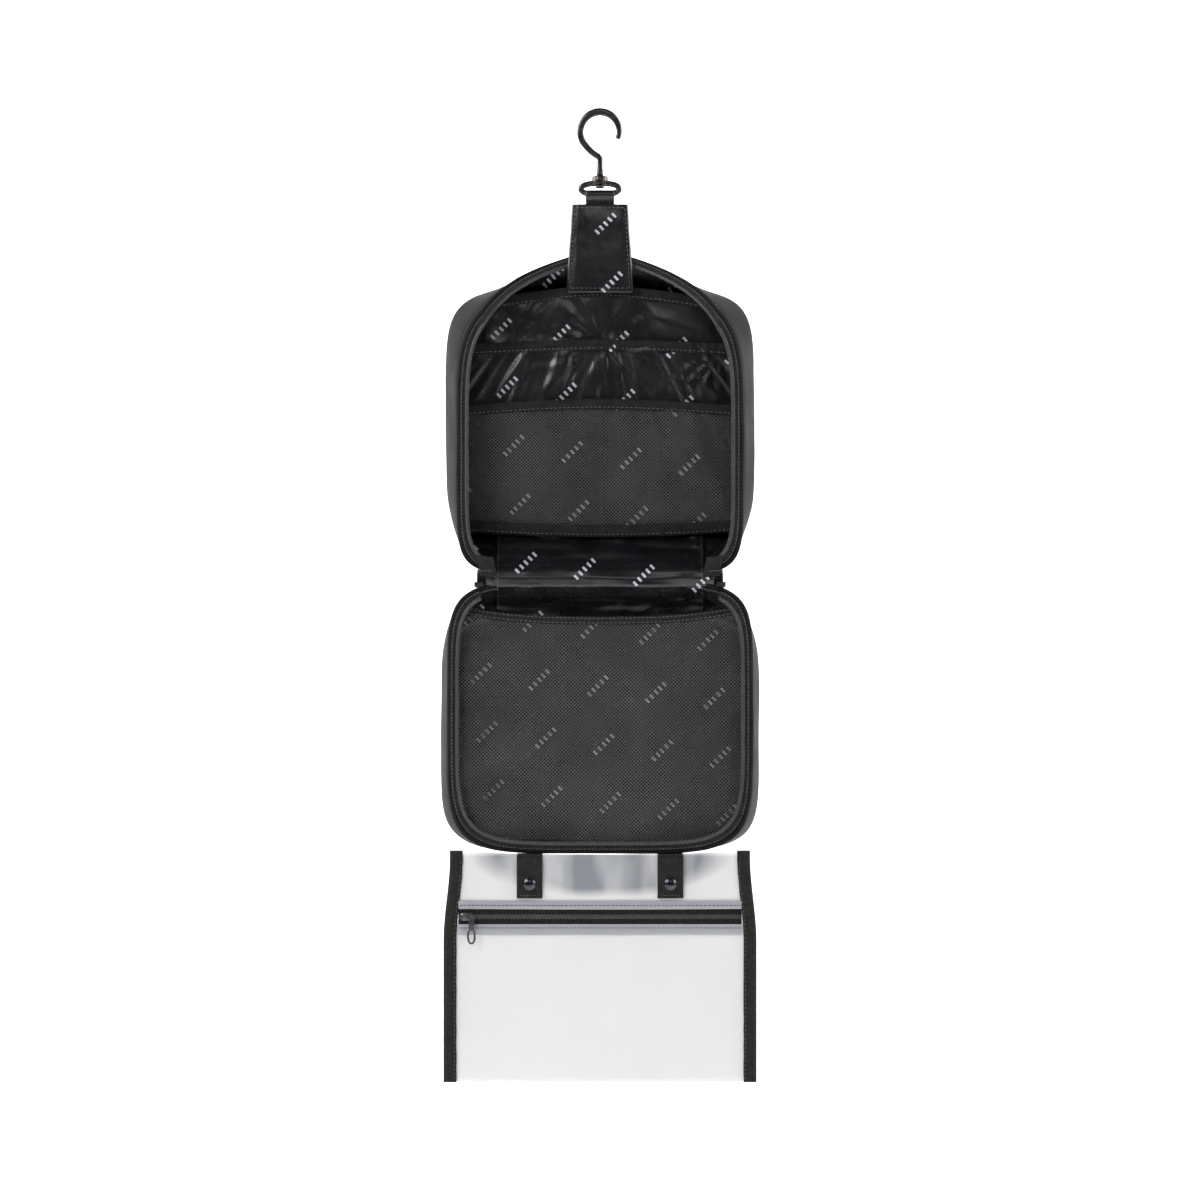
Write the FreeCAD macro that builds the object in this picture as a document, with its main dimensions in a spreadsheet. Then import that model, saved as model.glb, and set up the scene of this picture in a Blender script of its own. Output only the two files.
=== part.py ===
"""Hanging toiletry bag, opened out on its hook.

The origin is the centre of the hook's eye, +X is right, +Y points away from the person who
uses the bag and +Z is up. Lengths are millimetres. The two trays face -Y, their rims lie just
behind the fold plane, and the clear pouch hangs from the lower tray's lip.
"""
import FreeCAD, Part
import math
import os

import Sketcher
from FreeCAD import Placement, Rotation, Vector

SIZES = {
    # swivel hook
    "eye_radius": 12.8, "hook_wall": 5.2, "hook_depth": 5.0, "hook_land": 3.6,
    "hook_start": -17, "hook_sweep": 242, "bend_z": -21.5, "shank_radius": 2.2,
    "shank_base_radius": 2.75, "collar_top": -34.6, "collar_height": 6.4, "collar_radius": 6.4,
    "swivel_clearance": 0.05, "retainer_radius": 3.25, "retainer_height": 3.3,
    # ring
    "ring_wire_radius": 2.35, "ring_end_radius": 4.45, "ring_straight": 21.0, "ring_bar_z": -49.05,
    # hanger strap and tab
    "strap_width": 21.6, "strap_ply": 1.0, "strap_slack": 0.35, "tab_top_z": -57,
    "tab_fold_z": -125, "tab_top_width": 43.7, "tab_bottom_width": 53, "tab_ply": 0.9,
    # fold plane, shared by both trays
    "fold_y": -29.5, "fold_z": -350, "rim_gap": 2.3, "tray_depth": 47.7, "panel_thick": 2.3,
    "wall": 2.4, "lining": 0.8, "rim_cord": 1.7, "tape_flange": 3.6, "chain_width": 4.0,
    "tape_thick": 0.8, "chain_thick": 1.1,
    # upper tray
    "upper_back_half": 122.5, "upper_back_top": -122, "upper_back_bottom": -324,
    "upper_rim_half": 111, "upper_rim_top": -125, "upper_rim_bottom": -347.5,
    "crown_rise": 34, "crown_setback": 40, "crown_half_width": 92,
    # lower tray
    "lower_back_half": 126, "lower_back_top": -375, "lower_back_bottom": -564,
    "lower_rim_half": 118.5, "lower_rim_top": -352.5, "lower_rim_bottom": -564,
    # pockets of the upper tray
    "band_thick": 2.0, "panel_ply": 0.8, "pocket_half": 108, "seam_gap": 1.0, "pocket_foot_z": -316,
    "first_band_top": -120, "first_band_tall": 11, "first_depth": 32,
    "second_band_top": -163, "second_band_tall": 9, "second_depth": 30.5,
    "third_band_top": -210, "third_band_tall": 8, "third_depth": 28.5,
    "foot_band_tall": 9, "foot_depth": 36,
    # folding lining, zip ends and lower mesh
    "zip_end_x": 97, "zip_end_reach": 22,
    "fold_lining_half": 72, "end_tab_x": 83, "fold_lining_reach": 27, "fold_lining_start": 9.5,
    "fold_lining_front": 4.4, "fold_lining_rear": 21, "end_tab_width": 13, "end_tab_tall": 9,
    "mesh_half": 112, "mesh_top": -378, "mesh_bottom": -559, "mesh_depth": 6.5,
    "mesh_band_tall": 6,
    # lip straps and snaps
    "lip_z": -567, "snap_strap_x": 54.8, "snap_strap_width": 20, "snap_strap_ply": 1.5,
    "snap_strap_bottom": -599, "snap_z": -588, "cap_radius": 5, "cap_height": 2.6,
    "stud_radius": 1.6, "anchor_length": 17,
    # clear pouch
    "pouch_top": -569, "pouch_bottom": -742, "pouch_top_half": 116, "pouch_half": 121,
    "pouch_taper_z": -632, "pouch_ply": 0.5, "pouch_fill": 1.1, "binding_width": 9.4,
    "hem_top": -601, "tape_top": -607.5, "tape_bottom": -619.4, "hem_bottom": -627.3,
    "coil_width": 4.6, "slider_x": -103, "slider_length": 12, "slider_tall": 7.2,
    "zip_travel": 206, "pull_width": 7.2, "pull_length": 20.5, "pull_thick": 1.4,
    # main zip sliders
    "main_slider_x": 94.5, "main_slider_size": 7, "main_pull_length": 24, "main_pull_width": 6,
}

doc = FreeCAD.newDocument("HangingToiletryBag")
sheet = doc.addObject("Spreadsheet::Sheet", "dims")
for row, (alias, value) in enumerate(SIZES.items(), start=1):
    sheet.set("A%d" % row, alias)
    sheet.set("B%d" % row, str(value))
    sheet.setAlias("B%d" % row, alias)
doc.recompute()

LOOP_POINTS = 40
parts = []


def size(expression):
    """Value of an expression over the sheet's cells."""
    return float(sheet.evalExpression(expression))


def bind(obj, **expressions):
    for name, expression in expressions.items():
        obj.setExpression(name, expression)


def locate(obj, x="0", y="0", z="0"):
    for axis, expression in (("x", x), ("y", y), ("z", z)):
        obj.setExpression(".Placement.Base." + axis, expression)


def keep(obj, label):
    obj.Label = label
    parts.append(obj)
    return obj


# ---------------------------------------------------------------- plain solids

def block(name, low, extent):
    """Box from its low corner and its extent along X, Y and Z."""
    obj = doc.addObject("Part::Box", name)
    bind(obj, Length=extent[0], Width=extent[1], Height=extent[2])
    locate(obj, *low)
    return obj


def rod(name, radius, height, centre, turn=None):
    """Cylinder along Z from its foot, or along the axis that turn gives."""
    obj = doc.addObject("Part::Cylinder", name)
    bind(obj, Radius=radius, Height=height)
    if turn:
        obj.Placement = Placement(Vector(), turn)
    locate(obj, *centre)
    return obj


ALONG_X = Rotation(Vector(0, 1, 0), 90)
ALONG_Y = Rotation(Vector(1, 0, 0), -90)
TOWARDS_USER = Rotation(Vector(1, 0, 0), 90)


def cut(name, base, tool):
    obj = doc.addObject("Part::Cut", name)
    obj.Base, obj.Tool = base, tool
    return obj


def join(name, *shapes):
    obj = doc.addObject("Part::MultiFuse", name)
    obj.Shapes = list(shapes)
    return obj


def group(name, *shapes):
    """Identical pieces kept as separate solids of one node."""
    obj = doc.addObject("Part::Compound", name)
    obj.Links = list(shapes)
    return obj


# ---------------------------------------------------------------- sketched solids

def origin_plane(body, role):
    return next(f for f in body.Origin.OriginFeatures if f.Role == role)


def outline(body, role, corners):
    """Closed polygon whose corners are pairs of expressions, on one of the body's planes."""
    sketch = body.newObject("Sketcher::SketchObject", body.Name + "_outline")
    sketch.AttachmentSupport = (origin_plane(body, role), [""])
    sketch.MapMode = "FlatFace"
    points = [Vector(size(u), size(v), 0) for u, v in corners]
    count = len(points)
    for i in range(count):
        sketch.addGeometry(Part.LineSegment(points[i], points[(i + 1) % count]))
    for i in range(count):
        sketch.addConstraint(Sketcher.Constraint("Coincident", i, 2, (i + 1) % count, 1))
    for i, (u, v) in enumerate(corners):
        for kind, expression in (("DistanceX", u), ("DistanceY", v)):
            rule = Sketcher.Constraint(kind, i, 1, size(expression))
            sketch.setExpression("Constraints[%d]" % sketch.addConstraint(rule), expression)
    return sketch


def padded(name, role, corners, length, y="0"):
    """Polygon padded evenly to both sides of its plane; y moves the whole body back."""
    body = doc.addObject("PartDesign::Body", name)
    pad = body.newObject("PartDesign::Pad", name + "_pad")
    pad.Profile = outline(body, role, corners)
    pad.SideType = "Symmetric"
    bind(pad, Length=length)
    body.Tip = pad
    locate(body, y=y)
    return body


def side_plate(name, top, foot, thick, width):
    """Plate across X that leans between two (depth behind the fold plane, z) points."""
    corners = [(top[0], top[1]), ("%s + %s" % (top[0], thick), top[1]),
               ("%s + %s" % (foot[0], thick), foot[1]), (foot[0], foot[1])]
    return padded(name, "YZ_Plane", corners, width, y="dims.fold_y")


# ---------------------------------------------------------------- tray walls

def tray(prefix, top_power, foot_power, crown):
    """Sizes of one tray's back outline and rim outline, read from the sheet."""
    names = ("half", "top", "bottom")
    back = [size("dims.%s_back_%s" % (prefix, n)) for n in names]
    rim = [size("dims.%s_rim_%s" % (prefix, n)) for n in names]
    rise, setback = size("dims.crown_rise"), size("dims.crown_setback")
    return {"back": back, "rim": rim, "top_power": top_power, "foot_power": foot_power,
            "rise": rise if crown else 0, "setback": setback if crown else 0}


BACK_POWER = 6.0


def outline_point(extent, inset, turn, power):
    """Point of a superellipse given by its half width, top and foot."""
    half, top, foot = extent[0] - inset, extent[1] - inset, extent[2] + inset
    across, up = math.cos(turn), math.sin(turn)
    x = half * math.copysign(abs(across) ** (2 / power), across)
    z = (top - foot) / 2 * math.copysign(abs(up) ** (2 / power), up)
    return Vector(x, 0, (top + foot) / 2 + z)


def spacing(corners):
    """Running distance round a closed line, so that all loops of a tray share one parameter."""
    steps = [0.0]
    for a, b in zip(corners, corners[1:] + corners[:1]):
        steps.append(steps[-1] + a.distanceToPoint(b))
    return steps


def tray_loop(shape, ahead, inset, forward=0.0):
    """Closed curve round the tray, from its back (ahead = 0) to its rim (ahead = 1).

    inset moves it inwards and forward moves it towards the user. The crown lifts the middle
    of the top edge and sets it back, so that the hanger tab passes in front of it.
    """
    points, corners = [], []
    for i in range(LOOP_POINTS):
        turn = 2 * math.pi * (i + 0.5) / LOOP_POINTS - math.pi / 2
        top_power = shape["top_power"] if math.sin(turn) > 0 else shape["foot_power"]
        back = outline_point(shape["back"], inset, turn, BACK_POWER)
        rim = outline_point(shape["rim"], inset, turn, top_power)
        corners.append(outline_point(shape["back"], 0, turn, BACK_POWER))
        back.y = size("dims.fold_y + dims.rim_gap + dims.tray_depth")
        rim.y = size("dims.fold_y + dims.rim_gap")
        if math.sin(turn) > 0:
            crown = max(0.0, 1 - (abs(rim.x) / size("dims.crown_half_width")) ** 1.3)
            rim += Vector(0, crown * shape["setback"], crown * shape["rise"])
        points.append(back + (rim - back) * ahead - Vector(0, forward, 0))
    curve = Part.BSplineCurve()
    curve.interpolate(points, PeriodicFlag=True, Parameters=spacing(corners))
    return curve.toShape()


def feature(label, shape):
    obj = doc.addObject("Part::Feature", label)
    obj.Shape = shape
    obj.Placement = Placement()
    return keep(obj, label)


def ring_solid(*loops):
    """Solid bounded by the ruled faces between consecutive closed curves."""
    pairs = zip(loops, loops[1:] + loops[:1])
    shell = Part.makeShell([Part.makeRuledSurface(a, b) for a, b in pairs])
    shell.sewShape()
    solid = Part.makeSolid(shell)
    if solid.Volume < 0:
        solid.reverse()
    return solid


def wall_band(shape, behind, before, outer, inner):
    """Band of the tray's wall between two places from back to rim, and two insets."""
    return ring_solid(tray_loop(shape, behind, outer), tray_loop(shape, before, outer),
                      tray_loop(shape, before, inner), tray_loop(shape, behind, inner))


def rim_band(shape, outer, inner, back, front):
    """Flat band that follows the rim, between two insets and two places before the edge."""
    return ring_solid(tray_loop(shape, 1, outer, back), tray_loop(shape, 1, outer, front),
                      tray_loop(shape, 1, inner, front), tray_loop(shape, 1, inner, back))


def panel_plate(shape, inset, front_at, thick):
    """Flat panel with the outline of the tray's back, its front face front_at behind the rim."""
    wire = Part.Wire([tray_loop(shape, 0, inset, size("dims.tray_depth") - front_at)])
    return Part.Face(wire).extrude(Vector(0, thick, 0))


def clear_of_fold(solid):
    """Cut away what a rim band has along the fold, between the two ends of the zip."""
    half, reach = size("dims.zip_end_x"), size("dims.zip_end_reach")
    low = Vector(-half, -2 * reach, size("dims.fold_z") - reach)
    return solid.cut(Part.makeBox(2 * half, 4 * reach, 2 * reach, low))


def make_tray(prefix, shape):
    depth, panel = size("dims.tray_depth"), size("dims.panel_thick")
    wall, lining = size("dims.wall"), size("dims.lining")
    feature(prefix + "_back_panel", panel_plate(shape, 0, depth, panel))
    feature(prefix + "_gusset", wall_band(shape, 0, 1, 0, wall))
    feature(prefix + "_gusset_lining", wall_band(shape, 0.03, 0.92, wall + 0.1, wall + lining))
    back_lining = panel_plate(shape, wall + lining + 1, depth - lining, lining)
    feature(prefix + "_back_lining", back_lining)
    cord = size("dims.rim_cord")
    piping = rim_band(shape, -0.6, wall, 0, cord)
    feature(prefix + "_rim_piping", clear_of_fold(piping))
    flange = size("dims.tape_flange")
    thick = size("dims.tape_thick")
    tape = rim_band(shape, wall, wall + flange, 0, thick)
    feature(prefix + "_zip_tape", clear_of_fold(tape))
    chain = rim_band(shape, wall + flange - 1, wall + flange - 1 + size("dims.chain_width"),
                     thick + 0.1, thick + 0.1 + size("dims.chain_thick"))
    feature(prefix + "_zip_chain", clear_of_fold(chain))


def room(name, shape):
    """Space inside a tray's lining, which trims what spans the tray."""
    plain = dict(shape, setback=0)
    inset = size("dims.wall + dims.lining + dims.seam_gap")
    back, rim = tray_loop(plain, 0, inset), tray_loop(plain, 1, inset)
    ends = [Part.Face(Part.Wire([edge])) for edge in (back, rim)]
    shell = Part.makeShell([Part.makeRuledSurface(back, rim)] + ends)
    shell.sewShape()
    obj = doc.addObject("Part::Feature", name)
    obj.Shape = Part.makeSolid(shell)
    if obj.Shape.Volume < 0:
        obj.Shape = obj.Shape.reversed()
    return obj


def trimmed(label, solid, space):
    """The part of a plate or band that lies inside a tray's room."""
    obj = doc.addObject("Part::Common", label + "_trimmed")
    obj.Base, obj.Tool = solid, space
    return keep(obj, label)


# ---------------------------------------------------------------- hook and ring

def make_hook():
    """Eye swept about Y from a section with a flat land, then the neck and the shank."""
    body = doc.addObject("PartDesign::Body", "hook_eye")
    half_land, half_depth = "dims.hook_land / 2", "dims.hook_depth / 2"
    inner, outer = "dims.eye_radius", "dims.eye_radius + dims.hook_wall"
    corners = [(inner, "-" + half_land), (inner + " + 0.9", "-" + half_depth),
               (outer + " - 1.3", "-" + half_depth), (outer, "-" + half_land + " + 0.6"),
               (outer, half_land + " - 0.6"), (outer + " - 1.3", half_depth),
               (inner + " + 0.9", half_depth), (inner, half_land)]
    section = outline(body, "XY_Plane", corners)
    eye = body.newObject("PartDesign::Revolution", "hook_eye_sweep")
    eye.Profile = section
    eye.ReferenceAxis = (section, ["V_Axis"])
    bind(eye, Angle="dims.hook_sweep")
    body.Tip = eye
    start = size("dims.hook_start")
    body.Placement = Placement(Vector(), Rotation(Vector(0, 1, 0), -start - size("dims.hook_sweep")))
    doc.recompute()

    middle = size("dims.eye_radius + dims.hook_wall / 2")
    end = math.radians(start + size("dims.hook_sweep"))
    foot = Vector(middle * math.cos(end), 0, middle * math.sin(end))
    bend = Vector(0, 0, size("dims.bend_z"))
    run = bend - foot
    neck = doc.addObject("Part::Cone", "hook_neck")
    bind(neck, Radius1="dims.hook_depth / 2", Radius2="dims.shank_radius + 0.1")
    neck.Height = run.Length
    neck.Placement = Placement(foot, Rotation(Vector(0, 0, 1), run))
    elbow = doc.addObject("Part::Sphere", "hook_elbow")
    bind(elbow, Radius="dims.shank_radius + 0.1")
    locate(elbow, z="dims.bend_z")
    shank = doc.addObject("Part::Cone", "hook_shank")
    gap = "dims.swivel_clearance"
    bind(shank, Radius1="dims.shank_base_radius", Radius2="dims.shank_radius",
         Height="dims.bend_z - dims.collar_top - " + gap)
    locate(shank, z="dims.collar_top + " + gap)
    post_drop = "dims.collar_height + 3 * " + gap
    post = rod("hook_post", "dims.shank_radius", post_drop,
               ("0", "0", "dims.collar_top + %s - (%s)" % (gap, post_drop)))
    keep(join("swivel_hook_form", body, neck, elbow, shank, post), "swivel_hook")

    foot_z = "dims.collar_top - dims.collar_height - 2 * %s - dims.retainer_height" % gap
    keep(rod("hook_retainer", "dims.retainer_radius", "dims.retainer_height",
             ("0", "0", foot_z)), "hook_retainer")


def make_ring():
    """Flattened oval of round wire with a bored collar on its upper bar."""
    half = "dims.ring_straight / 2"
    upper_bar = "dims.ring_bar_z + 2 * dims.ring_end_radius"
    pieces = [rod("ring_bar_%d" % i, "dims.ring_wire_radius", "dims.ring_straight",
                  ("-" + half, "0", z), ALONG_X)
              for i, z in enumerate(("dims.ring_bar_z", upper_bar))]
    for name, side, turn in (("left", "-" + half, -90), ("right", half, 90)):
        end = doc.addObject("Part::Torus", "ring_end_" + name)
        bind(end, Radius1="dims.ring_end_radius", Radius2="dims.ring_wire_radius")
        end.Angle3 = 180
        end.Placement = Placement(Vector(), Rotation(Vector(0, 1, 0), turn)
                                  * Rotation(Vector(1, 0, 0), 90))
        locate(end, x=side, z="dims.ring_bar_z + dims.ring_end_radius")
        pieces.append(end)
    pieces.append(rod("ring_collar", "dims.collar_radius", "dims.collar_height",
                      ("0", "0", "dims.collar_top - dims.collar_height")))
    bore = rod("ring_bore", "dims.shank_radius + dims.swivel_clearance",
               "dims.collar_height + 2", ("0", "0", "dims.collar_top - dims.collar_height - 1"))
    room = rod("ring_retainer_room", "dims.retainer_radius + 0.35", "dims.retainer_height + 1",
               ("0", "0", "dims.collar_top - dims.collar_height - dims.retainer_height - 1"))
    solid = join("ring_solid", *pieces)
    keep(cut("swivel_ring_form", solid, join("ring_voids", bore, room)), "swivel_ring")


def make_hanger():
    """Webbing looped round the ring's lower bar, between the two plies of the tab."""
    inner = "dims.ring_wire_radius + dims.strap_slack"
    outer = inner + " + dims.strap_ply"
    at = ("-dims.strap_width / 2", "0", "dims.ring_bar_z")
    loop = rod("strap_loop", outer, "dims.strap_width", at, ALONG_X)
    bar_room = rod("strap_bar_room", inner, "dims.strap_width + 2",
                   ("-dims.strap_width / 2 - 1", "0", "dims.ring_bar_z"), ALONG_X)
    tail_top = "dims.ring_bar_z - (%s)" % inner
    tail = block("strap_tail", ("-dims.strap_width / 2", "-dims.strap_ply", "dims.tab_fold_z + 2"),
                 ("dims.strap_width", "2 * dims.strap_ply",
                  "%s - 0.2 - dims.tab_fold_z - 2" % tail_top))
    strap = join("strap_whole", loop, tail)
    keep(cut("hanger_strap_form", strap, bar_room), "hanger_strap")
    top, foot = "dims.tab_top_width / 2", "dims.tab_bottom_width / 2"
    corners = [("-" + top, "dims.tab_top_z"), (top, "dims.tab_top_z"),
               (foot, "dims.tab_fold_z"), ("-" + foot, "dims.tab_fold_z")]
    for label, sign in (("tab_front_ply", "-"), ("tab_back_ply", "")):
        middle = "%s(dims.strap_ply + dims.tab_ply / 2)" % sign
        keep(padded(label, "XZ_Plane", corners, "dims.tab_ply", y=middle), label)


# ---------------------------------------------------------------- pockets

def make_pockets(shape):
    """Three slip pockets that share one foot seam, each with a bound top edge."""
    space = room("upper_room", shape)
    rows = (("first", "first_pocket_panel", "6"), ("second", "second_pocket_panel", "3"),
            ("third", "mesh_pocket_panel", "0"))
    for row, label, behind in rows:
        depth, top = "dims.%s_depth" % row, "dims.%s_band_top" % row
        tall = "dims.%s_band_tall" % row
        foot_depth = "dims.foot_depth + " + behind
        panel_top = "%s - %s" % (top, tall)
        panel = side_plate(row + "_panel", (depth + " + 0.6", panel_top),
                           (foot_depth, "dims.pocket_foot_z"), "dims.panel_ply",
                           "2 * dims.pocket_half")
        trimmed(label, panel, space)
        band = block(row + "_band", ("-dims.pocket_half", "dims.fold_y + " + depth, panel_top),
                     ("2 * dims.pocket_half", "dims.band_thick", tall))
        trimmed(label.replace("panel", "band"), band, space)
    foot = block("foot_band", ("-dims.pocket_half",
                               "dims.fold_y + dims.foot_depth - dims.band_thick - 1.4",
                               "dims.pocket_foot_z"),
                 ("2 * dims.pocket_half", "dims.band_thick", "dims.foot_band_tall"))
    trimmed("pocket_foot_band", foot, space)


def make_fold():
    """Lining over the fold, one half on each tray, the seam cord on the fold's axis."""
    width = "2 * dims.fold_lining_half"
    reach, front, start = "dims.fold_lining_reach", "dims.fold_lining_front", "dims.fold_lining_start"
    rear = "dims.fold_lining_rear"
    keep(side_plate("fold_lining_above", (rear, "dims.fold_z + " + reach),
                    (front, "dims.fold_z + " + start), "dims.panel_ply", width),
         "fold_lining_upper")
    keep(side_plate("fold_lining_below", (front, "dims.fold_z - " + start),
                    (rear, "dims.fold_z - " + reach), "dims.panel_ply", width),
         "fold_lining_lower")
    keep(rod("fold_seam_cord", "1.2", "2 * dims.upper_rim_half - 42",
             ("21 - dims.upper_rim_half", "dims.fold_y", "dims.fold_z"), ALONG_X),
         "fold_seam_cord")
    tabs = [block("zip_end_tab_%d" % i, (x, "dims.fold_y + 0.8", "dims.fold_z + 4.2"),
                  ("dims.end_tab_width", "1.2", "dims.end_tab_tall"))
            for i, x in enumerate(("-dims.end_tab_x - dims.end_tab_width", "dims.end_tab_x"))]
    keep(group("zip_end_tabs_pair", *tabs), "zip_end_tabs")


def make_lower_mesh(shape):
    """Net across the lower tray, bound along its open top edge and at its foot."""
    space = room("lower_room", shape)
    width = "2 * dims.mesh_half"
    front = "dims.fold_y + dims.mesh_depth"
    tall = "dims.mesh_band_tall"
    net = block("net_panel", ("-dims.mesh_half", front + " + 0.6", "dims.mesh_bottom + " + tall),
                (width, "dims.panel_ply", "dims.mesh_top - dims.mesh_bottom - 2 * " + tall))
    trimmed("lower_mesh_panel", net, space)
    for label, z in (("lower_mesh_top_band", "dims.mesh_top - " + tall),
                     ("lower_mesh_foot_band", "dims.mesh_bottom")):
        band = block("net_" + label[11:], ("-dims.mesh_half", front, z),
                     (width, "dims.band_thick", tall))
        trimmed(label, band, space)


def make_main_sliders():
    """Two sliders parked at the ends of the main zip, their pulls lying back in the fold."""
    base, side = "dims.main_slider_size", "dims.main_slider_x"
    top = "dims.fold_z - 2.8"
    for hand, middle in (("left", "-" + side), ("right", side)):
        keep(block("main_slider_" + hand,
                   ("%s - %s / 2" % (middle, base), "dims.fold_y + 0.9", top + " - 3.8"),
                   (base, "2.4", "3.8")), "main_slider_" + hand)
        keep(block("main_pull_" + hand,
                   ("%s - dims.main_pull_width / 2" % middle, "dims.fold_y + 3.7", top + " - 4.6"),
                   ("dims.main_pull_width", "dims.main_pull_length", "1.4")), "main_pull_" + hand)


# ---------------------------------------------------------------- pouch

def mirrored_pair(name, maker):
    """The same small piece at both snap straps."""
    return group(name, *[maker("%s_%d" % (name, i), x)
                         for i, x in enumerate(("-dims.snap_strap_x", "dims.snap_strap_x"))])


def make_lip():
    """Strap roots under the lower tray, the snap straps, and the snaps on them."""
    width, ply = "dims.snap_strap_width", "dims.snap_strap_ply"
    keep(mirrored_pair("strap_roots_pair", lambda name, x: block(
        name, ("%s - %s / 2" % (x, width), "dims.fold_y + 3.4", "dims.lower_rim_bottom - 1.4"),
        (width, "dims.anchor_length", "1.2"))), "strap_roots")
    strap_y = "dims.fold_y - 2.1"
    top = "dims.lip_z - 1"
    straps = []
    for hand, x in (("left", "-dims.snap_strap_x"), ("right", "dims.snap_strap_x")):
        web = block("web_" + hand, ("%s - %s / 2" % (x, width), strap_y, "dims.snap_strap_bottom"),
                    (width, ply, "%s - dims.snap_strap_bottom" % top))
        hole = rod("web_hole_" + hand, "dims.stud_radius + 0.05", "6",
                   (x, "dims.fold_y - 4", "dims.snap_z"), ALONG_Y)
        straps.append(keep(cut("snap_strap_form_" + hand, web, hole), "snap_strap_" + hand))

    def cap(name, x):
        dome = doc.addObject("Part::Sphere", name)
        radius = size("(dims.cap_radius ^ 2 + dims.cap_height ^ 2) / (2 * dims.cap_height)")
        dome.Radius = radius
        dome.Angle1 = math.degrees(math.asin((radius - size("dims.cap_height")) / radius))
        dome.Angle2 = 90
        dome.Placement = Placement(Vector(), TOWARDS_USER)
        locate(dome, x, "%s + %.6f - dims.cap_height" % (strap_y, radius), "dims.snap_z")
        return dome

    keep(mirrored_pair("snap_caps_pair", cap), "snap_caps")

    def stud(name, x):
        flange = rod(name + "_flange", "dims.cap_radius - 1", "0.5",
                     (x, "dims.fold_y - 0.5", "dims.snap_z"), ALONG_Y)
        post = rod(name + "_post", "dims.stud_radius", "1.5",
                   (x, "dims.fold_y - 1.9", "dims.snap_z"), ALONG_Y)
        return join(name, flange, post)

    keep(mirrored_pair("snap_studs_pair", stud), "snap_studs")


def pouch_sheet(label, front, top, foot):
    """Vinyl sheet between two heights, with the pouch's slight taper above taper_z."""
    def half_at(z):
        lean = "(dims.pouch_half - dims.pouch_top_half) / (dims.pouch_top - dims.pouch_taper_z)"
        if size(z) <= size("dims.pouch_taper_z"):
            return "dims.pouch_half"
        return "dims.pouch_top_half + (dims.pouch_top - (%s)) * %s" % (z, lean)
    right = [(half_at(top), top)]
    if size(top) > size("dims.pouch_taper_z") > size(foot):
        right.append(("dims.pouch_half", "dims.pouch_taper_z"))
    right.append((half_at(foot), foot))
    left = [("-(%s)" % x, z) for x, z in reversed(right)]
    sheet_y = "dims.fold_y + %s + dims.pouch_ply / 2" % front
    keep(padded(label, "XZ_Plane", left + right, "dims.pouch_ply", y=sheet_y), label)


def make_pouch():
    """Two clear sheets, bound at the sides and zipped across the front."""
    back = "dims.pouch_ply + dims.pouch_fill"
    pouch_sheet("pouch_back_sheet", back, "dims.pouch_top", "dims.pouch_bottom")
    pouch_sheet("pouch_front_top", "0", "dims.pouch_top", "dims.tape_top")
    pouch_sheet("pouch_front_sheet", "0", "dims.tape_bottom", "dims.pouch_bottom")
    front = "dims.fold_y - 0.7"
    for label, high, low in (("pouch_upper_hem", "dims.hem_top", "dims.tape_top"),
                             ("pouch_lower_hem", "dims.tape_bottom", "dims.hem_bottom")):
        inside = "dims.pouch_top_half - dims.binding_width"
        keep(block(label, ("-(%s)" % inside, front, low),
                   ("2 * (%s)" % inside, "0.6", "%s - (%s)" % (high, low))), label)
    inside = "dims.pouch_half - dims.binding_width"
    tape_tall = "dims.tape_top - dims.tape_bottom"
    keep(block("pouch_zip_tape", ("-(%s)" % inside, "dims.fold_y", "dims.tape_bottom"),
               ("2 * (%s)" % inside, "0.6", tape_tall)), "pouch_zip_tape")
    middle = "(dims.tape_top + dims.tape_bottom) / 2"
    reach = "dims.pouch_top_half + 3 - dims.binding_width"
    keep(block("pouch_zip_coil", ("-(%s)" % reach, "dims.fold_y - 1.2",
                                  "%s - dims.coil_width / 2" % middle),
               ("2 * (%s)" % reach, "1.1", "dims.coil_width")), "pouch_zip_coil")
    lean = [("dims.pouch_top_half", "dims.pouch_top"), ("dims.pouch_half", "dims.pouch_taper_z"),
            ("dims.pouch_half", "dims.pouch_bottom")]
    width = "dims.binding_width"
    for label, sign in (("pouch_binding_left", "-"), ("pouch_binding_right", "")):
        outer = [("%s(%s + 0.4)" % (sign, x), z) for x, z in lean]
        inner = [("%s(%s - %s)" % (sign, x, width), z) for x, z in reversed(lean)]
        keep(padded(label, "XZ_Plane", outer + inner, "0.5", y="dims.fold_y - 0.35"), label)
    body = block("pouch_slider_body", ("dims.slider_x - dims.slider_length / 2",
                                       "dims.fold_y - 3.2", "%s - dims.slider_tall / 2" % middle),
                 ("dims.slider_length", "1.7", "dims.slider_tall"))
    keep(body, "pouch_slider")
    plate = block("pull_plate", ("dims.slider_x + 3 - dims.pull_width / 2", "dims.fold_y - 5",
                                 "%s - 1 - dims.pull_length" % middle),
                  ("dims.pull_width", "dims.pull_thick", "dims.pull_length"))
    window = block("pull_window", ("dims.slider_x + 3 - dims.pull_width / 2 + 1.3",
                                   "dims.fold_y - 6", "%s + 0.3 - dims.pull_length" % middle),
                   ("dims.pull_width - 2.6", "5", "7.5"))
    keep(cut("pouch_pull_form", plate, window), "pouch_pull")


# ---------------------------------------------------------------- build and write

make_hook()
make_ring()
make_hanger()
upper = tray("upper", 4.0, 8.0, True)
lower = tray("lower", 5.5, 5.3, False)
make_tray("upper", upper)
make_pockets(upper)
make_fold()
make_tray("lower", lower)
make_lower_mesh(lower)
make_main_sliders()
make_lip()
make_pouch()
doc.recompute()

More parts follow.
